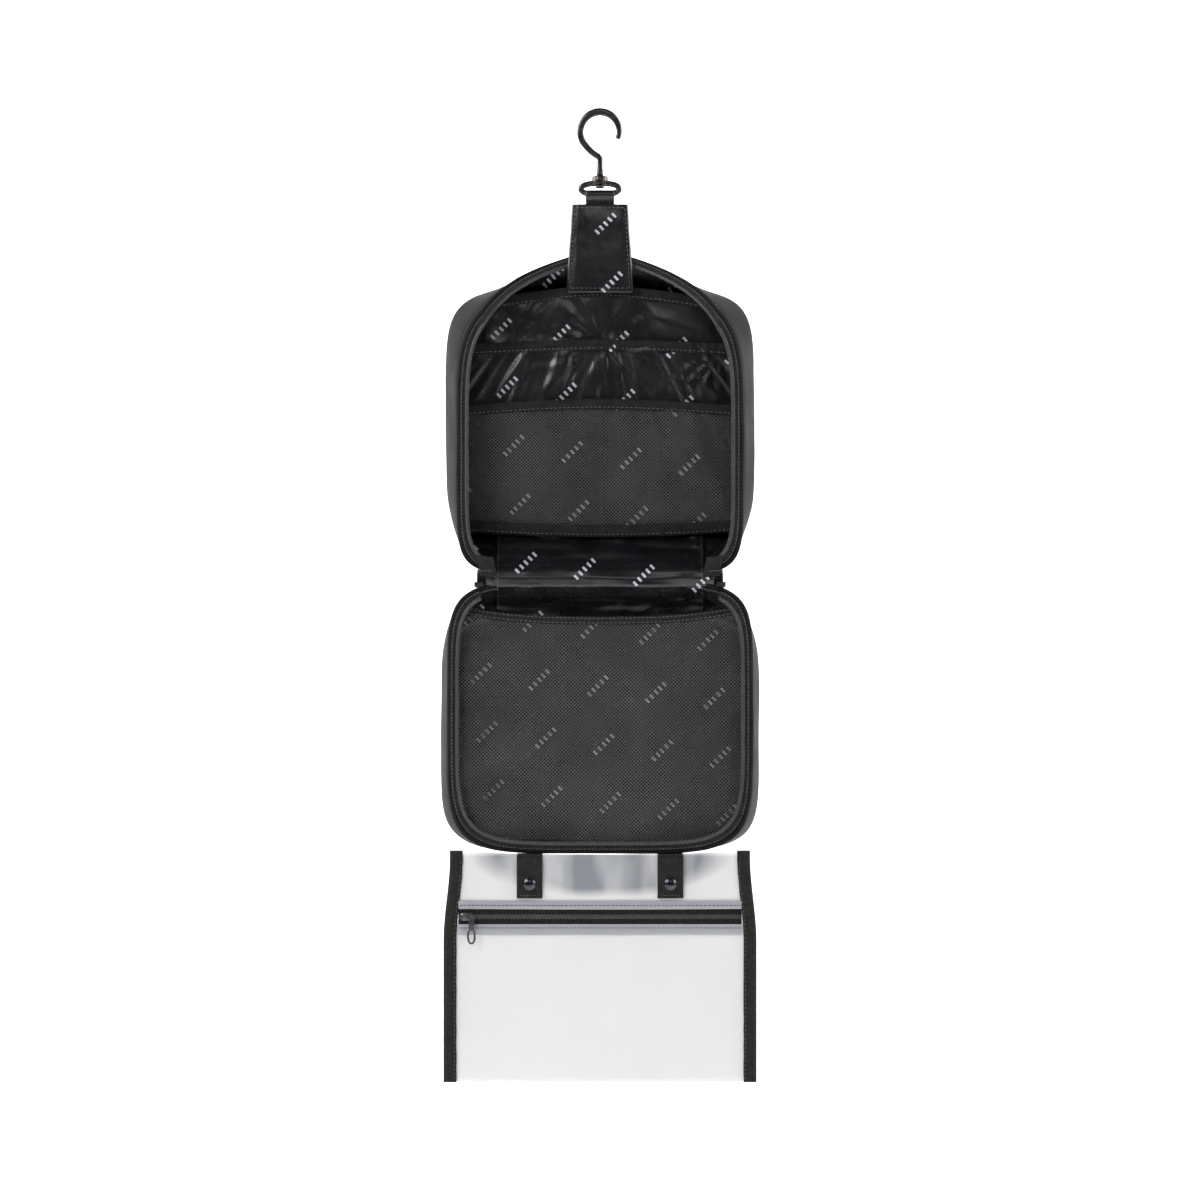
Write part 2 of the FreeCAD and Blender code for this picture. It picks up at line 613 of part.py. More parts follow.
for obj in doc.Objects:
    bad = [word for word in ("Invalid", "Error") if word in obj.State]
    if bad:
        raise RuntimeError("%s is %s" % (obj.Name, bad))
for obj in parts:
    shape = obj.Shape
    if shape.isNull() or not shape.isValid() or shape.Volume <= 0:
        raise RuntimeError("%s has no valid solid" % obj.Label)

os.makedirs("parts", exist_ok=True)
for obj in parts:
    obj.Shape.exportStep("parts/%s.step" % obj.Label)
    box = obj.Shape.BoundBox
    print("%-24s %9.1f mm3 %d solid(s)  x %7.1f %7.1f  y %6.1f %6.1f  z %7.1f %7.1f" % (
        obj.Label, obj.Shape.Volume, len(obj.Shape.Solids), box.XMin, box.XMax,
        box.YMin, box.YMax, box.ZMin, box.ZMax))
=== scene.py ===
import math

import bpy
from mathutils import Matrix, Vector, noise


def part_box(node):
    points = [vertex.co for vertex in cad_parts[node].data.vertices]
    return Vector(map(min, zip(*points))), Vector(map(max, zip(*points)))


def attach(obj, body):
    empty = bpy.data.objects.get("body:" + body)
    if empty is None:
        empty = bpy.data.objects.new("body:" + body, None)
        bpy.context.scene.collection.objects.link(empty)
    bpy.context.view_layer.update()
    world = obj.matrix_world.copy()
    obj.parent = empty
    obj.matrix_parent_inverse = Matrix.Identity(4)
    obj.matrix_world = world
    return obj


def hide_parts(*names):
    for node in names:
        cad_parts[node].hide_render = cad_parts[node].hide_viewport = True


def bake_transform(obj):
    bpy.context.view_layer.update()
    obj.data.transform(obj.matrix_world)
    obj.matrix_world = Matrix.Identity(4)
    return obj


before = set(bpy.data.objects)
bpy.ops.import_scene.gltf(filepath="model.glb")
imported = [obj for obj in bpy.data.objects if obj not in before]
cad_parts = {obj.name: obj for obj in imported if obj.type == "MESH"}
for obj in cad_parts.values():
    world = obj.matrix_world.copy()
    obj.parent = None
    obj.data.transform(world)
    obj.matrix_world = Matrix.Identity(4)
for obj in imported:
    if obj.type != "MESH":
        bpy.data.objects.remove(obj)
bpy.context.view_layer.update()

# Lengths below are millimetres in the row frame: +X right, +Y away from the viewer, +Z up.
MM = 0.001


def node_box(node):
    low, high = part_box(node)
    return Vector(low) / MM, Vector(high) / MM


FOLD = sum(node_box("fold_seam_cord"), Vector()) / 2
LIP_Z = -567.0
SNAP_X = 54.8
FACING = Vector((0, -1, 0))
RIM_Y = FOLD.y + 2.3
TRAY_DEPTH = 47.7
BACK_POWER = 6.0
WALL = 2.4
CROWN_HALF = 92.0
COLUMNS = 288
ZIP_END_X, ZIP_END_REACH = 92.0, 16.0

UPPER = {"body": "upper_tray", "back": (122.5, -122.0, -324.0), "rim": (111.0, -125.0, -347.5),
         "top_power": 4.0, "foot_power": 8.0, "rise": 34.0, "setback": 40.0}
LOWER = {"body": "lower_tray", "back": (126.0, -375.0, -564.0), "rim": (118.5, -352.5, -564.0),
         "top_power": 6.2, "foot_power": 5.3, "rise": 0.0, "setback": 0.0}


# ------------------------------------------------------------------ mesh helpers

def mesh_object(name, points, faces):
    mesh = bpy.data.meshes.new(name)
    mesh.from_pydata([tuple(c * MM for c in p) for p in points], [], faces)
    mesh.update()
    mesh.polygons.foreach_set("use_smooth", [True] * len(mesh.polygons))
    obj = bpy.data.objects.new(name, mesh)
    bpy.context.scene.collection.objects.link(obj)
    return obj


def grid_faces(rows, columns, closed_rows=False, closed_columns=False, first=0):
    faces = []
    for i in range(rows if closed_rows else rows - 1):
        for j in range(columns if closed_columns else columns - 1):
            a = first + i * columns + j
            b = first + i * columns + (j + 1) % columns
            c = first + (i + 1) % rows * columns + (j + 1) % columns
            d = first + (i + 1) % rows * columns + j
            faces.append((a, b, c, d))
    return faces


def flatten(rows):
    return [p for row in rows for p in row]


def grid_object(name, rows):
    return mesh_object(name, flatten(rows), grid_faces(len(rows), len(rows[0])))


def tube(rings):
    """Points and faces through closed rings, with both ends capped."""
    count, points = len(rings[0]), flatten(rings)
    faces = grid_faces(len(rings), count, False, True)
    faces += [tuple(reversed(range(count))), tuple(range(len(points) - count, len(points)))]
    return points, faces


def modify(obj, kind, **settings):
    """Add a modifier, apply it and return the object."""
    modifier = obj.modifiers.new(kind.lower(), kind)
    for key, value in settings.items():
        setattr(modifier, key, value)
    graph = bpy.context.evaluated_depsgraph_get()
    mesh = bpy.data.meshes.new_from_object(obj.evaluated_get(graph))
    obj.modifiers.clear()
    obj.data = mesh
    return obj


def thicken(obj, depth):
    return modify(obj, "SOLIDIFY", thickness=depth * MM, offset=0)


def join_meshes(name, pieces):
    """One mesh object from lists of (points, faces)."""
    points, faces = [], []
    for piece_points, piece_faces in pieces:
        first = len(points)
        points.extend(piece_points)
        faces.extend(tuple(first + v for v in f) for f in piece_faces)
    return mesh_object(name, points, faces)


def finish_piece(obj, material, body, slot, *nodes):
    obj.data.materials.clear()
    obj.data.materials.append(material)
    if body:
        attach(obj, body)
    if nodes:
        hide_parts(*nodes)
    return obj


def lerp(a, b, t):
    return a + (b - a) * t


def circle(count):
    """Cosine and sine at even turns."""
    return [(math.cos(2 * math.pi * k / count), math.sin(2 * math.pi * k / count))
            for k in range(count)]


def smooth_step(t):
    t = min(1.0, max(0.0, t))
    return t * t * (3 - 2 * t)


def ripple(x, y, z, seed=0.0):
    """Smooth noise from -1 to 1, over lengths in millimetres that the caller has scaled."""
    return noise.noise(Vector((x + seed * 13.7, y - seed * 5.1, z + seed * 3.3)))


def resample(points, spacing, closed=False):
    """Points at even spacing along a polyline."""
    line = [Vector(p) for p in points] + ([Vector(points[0])] if closed else [])
    lengths = [0.0]
    for a, b in zip(line, line[1:]):
        lengths.append(lengths[-1] + (b - a).length)
    count = max(2, round(lengths[-1] / spacing))
    stops = [lengths[-1] * i / count for i in range(count + (0 if closed else 1))]
    result, k = [], 0
    for stop in stops:
        while k < len(line) - 2 and lengths[k + 1] < stop:
            k += 1
        span = max(1e-9, lengths[k + 1] - lengths[k])
        result.append(line[k].lerp(line[k + 1], (stop - lengths[k]) / span))
    return result


def line_length(line):
    return sum((b - a).length for a, b in zip(line, line[1:])) * MM


def tangents(points, closed=False):
    n = len(points)
    result = []
    for i in range(n):
        before = points[i - 1] if closed or i else points[0]
        after = points[(i + 1) % n] if closed or i < n - 1 else points[-1]
        result.append((after - before).normalized())
    return result


def swept(path, normals, section, closed=False):
    """Points and faces of a section swept along a path.

    normals gives the section's second axis at each point of the path; the first lies across.
    """
    rings = []
    for point, along, up in zip(path, tangents(path, closed), normals):
        across = along.cross(up).normalized()
        rings.append([point + across * a + up * b for a, b in section])
    if closed:
        return flatten(rings), grid_faces(len(rings), len(section), True, True)
    return tube(rings)


def round_section(width, thick, steps=3):
    """Rounded rectangle, centred, as (across, up) pairs."""
    radius = min(width, thick) * 0.48
    section = []
    for cx, cy, start in ((1, 1, 0), (-1, 1, 90), (-1, -1, 180), (1, -1, 270)):
        for k in range(steps + 1):
            turn = math.radians(start + 90 * k / steps)
            section.append((cx * (width / 2 - radius) + radius * math.cos(turn),
                            cy * (thick / 2 - radius) + radius * math.sin(turn)))
    return section


def round_wire(radius, steps):
    return [(radius * c, radius * s) for c, s in circle(steps)]


def bead(centre, along, up, length, width, thick):
    """A stitch or tooth: a lozenge with a raised middle."""
    across = along.cross(up).normalized()
    return tube([[centre + along * (length * share) + across * (a * width / 2 * scale)
                  + up * (b * thick / 2 * scale)
                  for a, b in ((1, -0.3), (0.6, 1), (-0.6, 1), (-1, -0.3))]
                 for share, scale in ((-0.5, 0.45), (-0.3, 1), (0.3, 1), (0.5, 0.45))])


def stitch_row(path, length=2.3, gap=1.1, width=0.55, thick=0.45, normals=None):
    """Stitches laid along a path of points, as pieces for join_meshes."""
    stops = resample(path, length + gap)

    def up_at(p):
        if not normals:
            return FACING
        return normals[min(range(len(path)), key=lambda i: (path[i] - p).length_squared)]

    return [bead((a + b) / 2, (b - a).normalized(), up_at(a), length, width, thick)
            for a, b in zip(stops, stops[1:])]


def stitches(name, path, sizes, material, body, slot):
    """A row of stitches as a piece of its own."""
    return finish_piece(join_meshes(name, stitch_row(path, *sizes)), material, body, slot)


# ------------------------------------------------------------------ materials

class Shader:
    """A principled material with small helpers for its node tree."""

    def __init__(self, name, colour, roughness, **sockets):
        self.material = bpy.data.materials.new(name)
        self.material.use_nodes = True
        self.nodes = self.material.node_tree.nodes
        self.links = self.material.node_tree.links
        self.bsdf = self.nodes["Principled BSDF"]
        self.colour = (*colour, 1.0)
        self.bsdf.inputs["Base Color"].default_value = self.colour
        self.bsdf.inputs["Roughness"].default_value = roughness
        for key, value in sockets.items():
            self.bsdf.inputs[key.replace("_", " ")].default_value = value
        self.where = self.nodes.new("ShaderNodeTexCoord").outputs["Object"]
        self.last_bump = None

    def math(self, operation, a, b=0.0, clamp=False):
        node = self.nodes.new("ShaderNodeMath")
        node.operation = operation
        node.use_clamp = clamp
        for socket, value in zip(node.inputs, (a, b)):
            if isinstance(value, (int, float)):
                socket.default_value = value
            else:
                self.links.new(value, socket)
        return node.outputs[0]

    def axes(self):
        node = self.nodes.new("ShaderNodeSeparateXYZ")
        self.links.new(self.where, node.inputs[0])
        return node.outputs["X"], node.outputs["Z"]

    def drawn_out(self, z):
        """Place on the piece, with heights scaled by z."""
        node = self.nodes.new("ShaderNodeMapping")
        node.inputs["Scale"].default_value = (1.0, 1.0, z)
        self.links.new(self.where, node.inputs["Vector"])
        return node.outputs[0]

    def texture(self, kind, scale, output, vector=None):
        node = self.nodes.new("ShaderNodeTex" + kind)
        node.inputs["Scale"].default_value = scale
        self.links.new(vector or self.where, node.inputs["Vector"])
        return node, node.outputs[output]

    def noise(self, scale, detail=3.0, vector=None):
        node, value = self.texture("Noise", scale, "Fac", vector)
        node.inputs["Detail"].default_value = detail
        return value

    def wave(self, scale, direction):
        node, value = self.texture("Wave", scale, "Fac")
        node.bands_direction = direction
        return value

    def bump(self, height, strength, distance):
        node = self.nodes.new("ShaderNodeBump")
        node.inputs["Strength"].default_value = strength
        node.inputs["Distance"].default_value = distance * MM
        self.links.new(height, node.inputs["Height"])
        if self.last_bump:
            self.links.new(self.last_bump, node.inputs["Normal"])
        self.last_bump = node.outputs["Normal"]
        self.links.new(self.last_bump, self.bsdf.inputs["Normal"])

    def tint(self, factor, colour, source=None):
        """Mix the base colour towards another by a factor."""
        node = self.nodes.new("ShaderNodeMix")
        node.data_type = "RGBA"
        self.links.new(factor, node.inputs["Factor"])
        if source:
            self.links.new(source, node.inputs["A"])
        else:
            node.inputs["A"].default_value = self.colour
        node.inputs["B"].default_value = (*colour, 1.0)
        self.links.new(node.outputs["Result"], self.bsdf.inputs["Base Color"])
        return node.outputs["Result"]

    def ranged(self, value, low, high, to_low, to_high):
        node = self.nodes.new("ShaderNodeMapRange")
        for key, number in (("From Min", low), ("From Max", high), ("To Min", to_low),
                            ("To Max", to_high)):
            node.inputs[key].default_value = number
        self.links.new(value, node.inputs["Value"])
        return node.outputs["Result"]

    def vary_roughness(self, value, low, high):
        self.links.new(self.ranged(value, 0.3, 0.7, low, high), self.bsdf.inputs["Roughness"])

    def mottle(self, scale, detail, low, high, colour):
        """Patches of another colour, where noise runs from low to high."""
        return self.tint(self.ranged(self.noise(scale, detail), low, high, 0.0, 1.0), colour)


def coated_pu():
    """Smooth black polyurethane with a fine pebble and faint rubbed patches."""
    s = Shader("coated_pu", (0.010, 0.010, 0.0105), 0.46, Specular_IOR_Level=0.012)
    s.mottle(18.0, 3.0, 0.35, 0.75, (0.016, 0.016, 0.0165))
    s.vary_roughness(s.noise(30.0, 4.0), 0.42, 0.52)
    s.bump(s.texture("Voronoi", 1100.0, "Distance")[1], 0.14, 0.12)
    s.bump(s.noise(60.0, 2.0), 0.15, 0.6)
    return s.material


def printed_satin():
    """Black satin with a twill, and a generic print of short pale dashes on the diagonal."""
    s = Shader("satin_lining", (0.0036, 0.0035, 0.0046), 0.28, Specular_IOR_Level=0.5)
    x, z = s.axes()
    along = s.math("MULTIPLY", s.math("ADD", x, z), 0.7071)
    across = s.math("MULTIPLY", s.math("SUBTRACT", z, x), 0.7071)
    lane = s.math("DIVIDE", across, 0.036)
    shift = s.math("MULTIPLY", s.math("FLOOR", lane), 0.5)
    place = s.math("FRACT", s.math("ADD", s.math("DIVIDE", along, 0.058), shift))
    in_run = s.math("LESS_THAN", place, 0.40)
    in_dash = s.math("LESS_THAN", s.math("FRACT", s.math("MULTIPLY", place, 12.5)), 0.4)
    offset = s.math("ABSOLUTE", s.math("SUBTRACT", s.math("FRACT", lane), 0.5))
    in_lane = s.math("LESS_THAN", offset, 0.06)
    mask = s.math("MULTIPLY", s.math("MULTIPLY", in_run, in_dash), in_lane)
    worn = s.math("MULTIPLY", mask, s.ranged(s.noise(900.0), 0.3, 0.6, 0.55, 1.0))
    shade = s.mottle(40.0, 3.0, 0.35, 0.7, (0.0055, 0.0053, 0.0070))
    s.tint(worn, (0.5, 0.5, 0.56), shade)
    s.vary_roughness(s.noise(55.0, 4.0), 0.22, 0.34)
    s.bump(s.wave(700.0, "DIAGONAL"), 0.05, 0.08)
    s.bump(s.noise(140.0, 4.0), 0.18, 0.5)
    return s.material


def ribbed_cloth(name, colour, ribs, direction="X"):
    """Grosgrain, webbing or zip tape: ribs one way, a finer thread the other."""
    s = Shader(name, colour, 0.78, Sheen_Weight=0.03, Sheen_Roughness=0.5,
               Specular_IOR_Level=0.2)
    other = "Z" if direction == "X" else "X"
    s.mottle(300.0, 4.0, 0.35, 0.7, tuple(c * 1.9 + 0.002 for c in colour))
    s.bump(s.wave(ribs, direction), 0.5, 0.35)
    s.bump(s.wave(ribs * 1.7, other), 0.3, 0.2)
    return s.material


def net_yarn():
    s = Shader("mesh_net", (0.065, 0.065, 0.064), 0.5, Sheen_Weight=0.1, Sheen_Roughness=0.45)
    s.mottle(25.0, 3.0, 0.35, 0.65, (0.095, 0.095, 0.096))
    s.bump(s.noise(2600.0), 0.3, 0.1)
    return s.material


def thread(name, colour):
    s = Shader(name, colour, 0.6, Sheen_Weight=0.3)
    s.mottle(700.0, 3.0, 0.35, 0.7, tuple(c * 0.6 for c in colour))
    s.bump(s.wave(2400.0, "DIAGONAL"), 0.4, 0.08)
    return s.material


def coated_metal(name, colour, low, high, metallic=0.85, coat=0.25):
    """Cast metal under a dark coat, with soft casting unevenness and rubbed spots."""
    s = Shader(name, colour, low, Metallic=metallic, Coat_Weight=coat, Coat_Roughness=0.15)
    s.mottle(160.0, 4.0, 0.5, 0.8, tuple(c * 2.2 + 0.01 for c in colour))
    s.vary_roughness(s.noise(260.0, 4.0), low, high)
    s.bump(s.noise(420.0, 2.0), 0.12, 0.15)
    return s.material


def coil_plastic():
    s = Shader("zip_coil", (0.034, 0.034, 0.035), 0.34)
    s.mottle(400.0, 3.0, 0.4, 0.7, (0.03, 0.03, 0.032))
    s.vary_roughness(s.noise(300.0), 0.34, 0.5)
    s.bump(s.noise(1500.0), 0.15, 0.08)
    return s.material


def milky_vinyl(name, colour, alpha, rough=0.3, shade=None):
    """Frosted clear vinyl: a pale body that lets some of what is behind it through.

    shade is the (half width, height) in metres of the shadow the tray throws on the top.
    """
    s = Shader(name, colour, rough, Alpha=alpha, Specular_IOR_Level=0.5)
    body = s.mottle(9.0, 2.0, 0.3, 0.75, tuple(c * 0.97 for c in colour))
    if shade:
        x, z = s.axes()
        x = s.math("POWER", s.math("DIVIDE", x, shade[0]), 2.0)
        z = s.math("POWER", s.math("DIVIDE", s.math("ADD", z, -LIP_Z * MM), shade[1]), 2.0)
        wavy = s.math("MULTIPLY", s.noise(22.0, 2.0, s.drawn_out(0.4)), 0.55)
        inside = s.ranged(s.math("ADD", s.math("ADD", x, z), wavy), 0.9, 1.32, 1.0, 0.0)
        streak = s.ranged(s.noise(30.0, 2.0, s.drawn_out(0.3)), 0.42, 0.6, 1.0, 0.45)
        s.tint(s.math("MULTIPLY", inside, streak, True), (0.215, 0.232, 0.26), body)
    s.vary_roughness(s.noise(14.0, 3.0), rough * 0.85, rough * 1.2)
    s.bump(s.noise(16.0, 2.0), 0.2, 2.0)
    s.bump(s.noise(700.0), 0.05, 0.08)
    return s.material


PU = coated_pu()
SATIN = printed_satin()
GROSGRAIN = ribbed_cloth("grosgrain", (0.0065, 0.0065, 0.0054), 420.0)
WEBBING = ribbed_cloth("webbing", (0.0062, 0.0062, 0.0062), 330.0, "Z")
TAPE = ribbed_cloth("zip_tape", (0.0075, 0.0075, 0.0075), 520.0)
NET = net_yarn()
GUNMETAL = coated_metal("gunmetal", (0.030, 0.027, 0.024), 0.22, 0.38)
SNAP_METAL = coated_metal("snap_metal", (0.022, 0.024, 0.032), 0.12, 0.22, 0.9, 0.6)
PULL_METAL = coated_metal("pull_metal", (0.06, 0.062, 0.068), 0.25, 0.4)
COIL = coil_plastic()
BLACK_THREAD = thread("black_thread", (0.022, 0.022, 0.022))
PALE_THREAD = thread("pale_thread", (0.085, 0.083, 0.078))
VINYL = milky_vinyl("clear_vinyl", (0.74, 0.732, 0.735), 0.6, 0.38)
VINYL_TOP = milky_vinyl("clear_vinyl_top", (0.74, 0.732, 0.735), 0.7, 0.34, (0.098, 0.031))
VINYL_HEM = milky_vinyl("clear_vinyl_hem", (0.36, 0.37, 0.40), 0.75)


# ------------------------------------------------------------------ trays

def superellipse(extent, inset, turn, power):
    half, top, foot = extent[0] - inset, extent[1] - inset, extent[2] + inset
    c, s = math.cos(turn), math.sin(turn)
    r = (abs(c) ** power + abs(s) ** power) ** (-1 / power)
    return Vector((half * r * c, 0, (top + foot) / 2 + (top - foot) / 2 * r * s))


def ring(shape, ahead, inset, forward=0.0, columns=COLUMNS):
    """Points round a tray, from its back (ahead = 0) to its rim (ahead = 1)."""
    points = []
    for i in range(columns):
        turn = 2 * math.pi * (i + 0.5) / columns - math.pi / 2
        power = shape["top_power"] if math.sin(turn) > 0 else shape["foot_power"]
        back = superellipse(shape["back"], inset, turn, BACK_POWER)
        rim = superellipse(shape["rim"], inset, turn, power)
        back.y, rim.y = RIM_Y + TRAY_DEPTH, RIM_Y
        if math.sin(turn) > 0:
            crown = max(0.0, 1 - (abs(rim.x) / CROWN_HALF) ** 1.3)
            rim += Vector((0, crown * shape["setback"], crown * shape["rise"]))
        points.append(back.lerp(rim, ahead) - Vector((0, forward, 0)))
    return points


def outward(shape, ahead, points):
    """Normals of the tray's wall at the points of a ring."""
    other = ring(shape, ahead - 0.1, 0.0)
    here = ring(shape, ahead, 0.0)
    normals = []
    for a, b, along in zip(here, other, tangents(points, True)):
        normals.append(along.cross(a - b).normalized())
    centre = Vector((0, 0, (shape["back"][1] + shape["back"][2]) / 2))
    if normals[0].dot(points[0] - centre) < 0:
        normals = [-n for n in normals]
    return normals


def tray_skin(shape, rows, back_rows, middle, dome, puff):
    """Mesh through rings given as (ahead, inset), closed by rings that shrink to the middle."""
    rings = [ring(shape, ahead, inset) for ahead, inset in rows]
    low = rings[0]
    centre = Vector((0, low[0].y, middle))
    for share in back_rows:
        flat = [centre.lerp(p, share) + Vector((0, dome * (1 - share * share), 0)) for p in low]
        rings.insert(0, flat)
    points = [puff(p) for line in rings for p in line]
    faces = grid_faces(len(rings), COLUMNS, False, True)
    faces.append(tuple(reversed(range(COLUMNS))))
    return points, faces


OUTER_ROWS = [(-0.046, 9.0), (-0.042, 5.0), (-0.025, 2.4), (0.01, 0.9), (0.06, 0.2), (0.14, -0.1),
              (0.3, -0.4), (0.5, -0.5), (0.7, -0.4), (0.8, -0.3), (0.85, -0.2), (0.872, 0.1),
              (0.882, 0.5), (0.892, 0.1), (0.91, -0.4), (0.935, -0.7), (0.96, -0.7), (0.982, -0.4),
              (1.0, 0.3), (1.01, 1.2), (1.006, 2.1), (0.985, 2.6), (0.95, 2.5), (0.8, 2.4),
              (0.5, 2.4), (0.2, 2.4), (0.02, 2.6)]


def make_shell(name, shape, *nodes):
    middle = (shape["back"][1] + shape["back"][2]) / 2
    seed = 3.0 if shape is UPPER else 8.0

    def puff(p):
        depth = ripple(p.x / 55, p.y / 30, p.z / 55, seed)
        fine = ripple(p.x / 17, p.y / 14, p.z / 17, seed + 2)
        away = Vector((p.x, 0, p.z - middle)).normalized()
        return p + away * (0.7 * depth + 0.18 * fine) + Vector((0, 0.5 * depth, 0))

    points, faces = tray_skin(shape, OUTER_ROWS, (0.9, 0.75, 0.55, 0.3, 0.1), middle, 0.9, puff)
    inner = ring(shape, 0.0, 2.6)
    first = len(points)
    centre = Vector((0, inner[0].y, middle))
    for share in (0.9, 0.6, 0.2):
        points.extend(centre.lerp(p, share) for p in inner)
    faces += grid_faces(4, COLUMNS, False, True, first - COLUMNS)
    faces.append(tuple(range(len(points) - COLUMNS, len(points))))
    shell = mesh_object(name, points, faces)
    finish_piece(shell, PU, shape["body"], "coated_pu", *nodes)
    return shell


def make_wall_stitches(name, shape, ahead):
    path = ring(shape, ahead, 0.35)
    normals = outward(shape, ahead, path)
    row = stitch_row(path + path[:1], 2.6, 1.2, 0.6, 0.55, normals + normals[:1])
    finish_piece(join_meshes(name, row), BLACK_THREAD, shape["body"], "coated_pu")


LINING_ROWS = [(0.0, 6.0), (0.02, 4.2), (0.06, 3.5), (0.14, 3.3), (0.25, 3.3), (0.37, 3.3),
               (0.5, 3.3), (0.62, 3.3), (0.74, 3.2), (0.85, 3.1), (0.93, 2.9), (0.965, 2.7)]


def make_lining(name, shape, flat, area, *nodes):
    middle = (shape["back"][1] + shape["back"][2]) / 2
    seed = 5.0 if shape is UPPER else 11.0

    def puff(p):
        inward = Vector((-p.x, 0, middle - p.z)).normalized()
        wall = smooth_step((RIM_Y + TRAY_DEPTH - p.y) / 14) * smooth_step((p.y - RIM_Y) / 9)
        folds = ripple(p.x / 13, p.y / 60, p.z / 13, seed)
        sweep = ripple(p.x / 34 + p.z / 60, p.y / 30, p.z / 20 - p.x / 60, seed + 4)
        back = 1 - wall
        return (p + inward * wall * (0.7 + 0.75 * folds + 0.5 * sweep)
                - Vector((0, back * smooth_step((p.y - 12) / 6) * (0.8 + 1.3 * sweep), 0)))

    back_rows = (0.93, 0.86, 0.79, 0.72, 0.65, 0.58, 0.51, 0.44, 0.37, 0.3, 0.23, 0.16, 0.09,
                 0.03)
    points, faces = tray_skin(shape, LINING_ROWS, back_rows, middle, 0.0, puff)
    lining = thicken(mesh_object(name, points, faces), 0.3)
    finish_piece(lining, SATIN, shape["body"], "satin_lining", *nodes)


def rim_path(shape, inset, forward):
    """Open line along the rim, from one end of the zip round to the other."""
    points = ring(shape, 1.0, inset, forward)
    if shape is LOWER:
        points = points[COLUMNS // 2:] + points[:COLUMNS // 2]
    kept = [p for p in points if not (abs(p.x) < ZIP_END_X and abs(p.z - FOLD.z) < ZIP_END_REACH)]
    return resample(kept, 2.0)


def make_zip(prefix, shape):
    body = shape["body"]
    tape_path = rim_path(shape, WALL + 2.2, 0.9)
    tape = mesh_object(prefix + "_zip_tape_cloth", *swept(
        tape_path, [FACING] * len(tape_path), round_section(5.2, 0.7, 1)))
    finish_piece(tape, TAPE, body, "zip_tape", prefix + "_zip_tape")
    length = line_length(tape_path)
    coil_path = resample(rim_path(shape, WALL + 4.9, 1.6), 1.9)
    pieces = [bead(at, along.cross(FACING).normalized(), FACING, 3.5, 1.15, 1.7)
              for at, along in zip(coil_path, tangents(coil_path))]
    core = resample(coil_path, 3.0)
    pieces.append(swept(core, [FACING] * len(core), round_section(2.3, 0.9, 1)))
    coil = join_meshes(prefix + "_zip_teeth", pieces)
    finish_piece(coil, COIL, body, "zip_coil", prefix + "_zip_chain")
    seam = resample(rim_path(shape, WALL + 0.6, 1.4), 2.6)
    stitches(prefix + "_zip_seam", seam, (2.0, 0.9, 0.5, 0.45), BLACK_THREAD, body, "zip_tape")


UPPER["shell"] = make_shell("upper_shell", UPPER, "upper_back_panel", "upper_gusset",
                            "upper_rim_piping")
LOWER["shell"] = make_shell("lower_shell", LOWER, "lower_back_panel", "lower_gusset",
                            "lower_rim_piping")
for tray_name, tray_shape in (("upper", UPPER), ("lower", LOWER)):
    make_wall_stitches(tray_name + "_edge_stitches", tray_shape, 0.882)
    make_zip(tray_name, tray_shape)
make_lining("upper_lining", UPPER, (0.335, 0.325), 0.0865, "upper_gusset_lining",
            "upper_back_lining")
make_lining("lower_lining", LOWER, (0.345, 0.29), 0.0845, "lower_gusset_lining",
            "lower_back_lining")


# ------------------------------------------------------------------ pockets and nets

def inner_half(shape, y, z, inset=4.0):
    """Half width of the room in a tray at a depth and height."""
    ahead = min(1.0, (RIM_Y + TRAY_DEPTH - y) / TRAY_DEPTH)
    middle = (shape["back"][1] + shape["back"][2]) / 2
    power = lerp(BACK_POWER, shape["top_power" if z > middle else "foot_power"], ahead)
    half, top, foot = [lerp(b, r, ahead) for b, r in zip(shape["back"], shape["rim"])]
    half, top, foot = half - inset, top - inset, foot + inset
    away = min(0.999, abs(z - (top + foot) / 2) / ((top - foot) / 2))
    return half * (1 - away ** power) ** (1 / power)


def cloth_between(shape, surface, top, foot, columns, rows, inset=4.0, widest=999.0,
                  highest=-133.0):
    """Grid over a pocket face: surface(x, z, u, t) gives y, top(u) and foot(u) its edges."""
    grid = []
    for i in range(rows + 1):
        t = i / rows
        line = []
        for j in range(columns + 1):
            u = 2 * j / columns - 1
            z = lerp(top(u), foot(u), t)
            half = min(widest, inner_half(shape, surface(0, z, 0, t), min(z, highest), inset))
            line.append(Vector((u * half, surface(u * half, z, u, t), z)))
        grid.append(line)
    return grid


def crease(value):
    """Sharp ridge where smooth noise passes through zero."""
    return (1 - min(1.0, 2.6 * abs(value))) ** 1.5


def fan(x, z, at_x, at_z, lanes, seed):
    """Folds that radiate from a point where the cloth is caught."""
    away = math.hypot(x - at_x, z - at_z)
    turn = math.atan2(x - at_x, abs(z - at_z) + 4)
    fade = smooth_step(away / 9) * math.exp(-(away / 48) ** 2)
    return crease(ripple(turn * lanes, away / 70, 0, seed)) * fade


def gathered(x, t, seed, reach=1.0):
    """Folds that spread downwards from a gathered top edge."""
    spread = 1 + 1.5 * t
    folds = 1.4 * crease(ripple(x / (11.0 * spread), t * 0.9, 0, seed)) - 0.4
    folds += 0.6 * ripple(x / (5.0 * spread), t * 1.3, 2, seed)
    return folds * smooth_step(t * 9) * math.exp(-((t - 0.12) / (0.42 * reach)) ** 2)


def pocket_depth(front_y, foot_y, t):
    return lerp(front_y, foot_y, t ** 1.2)


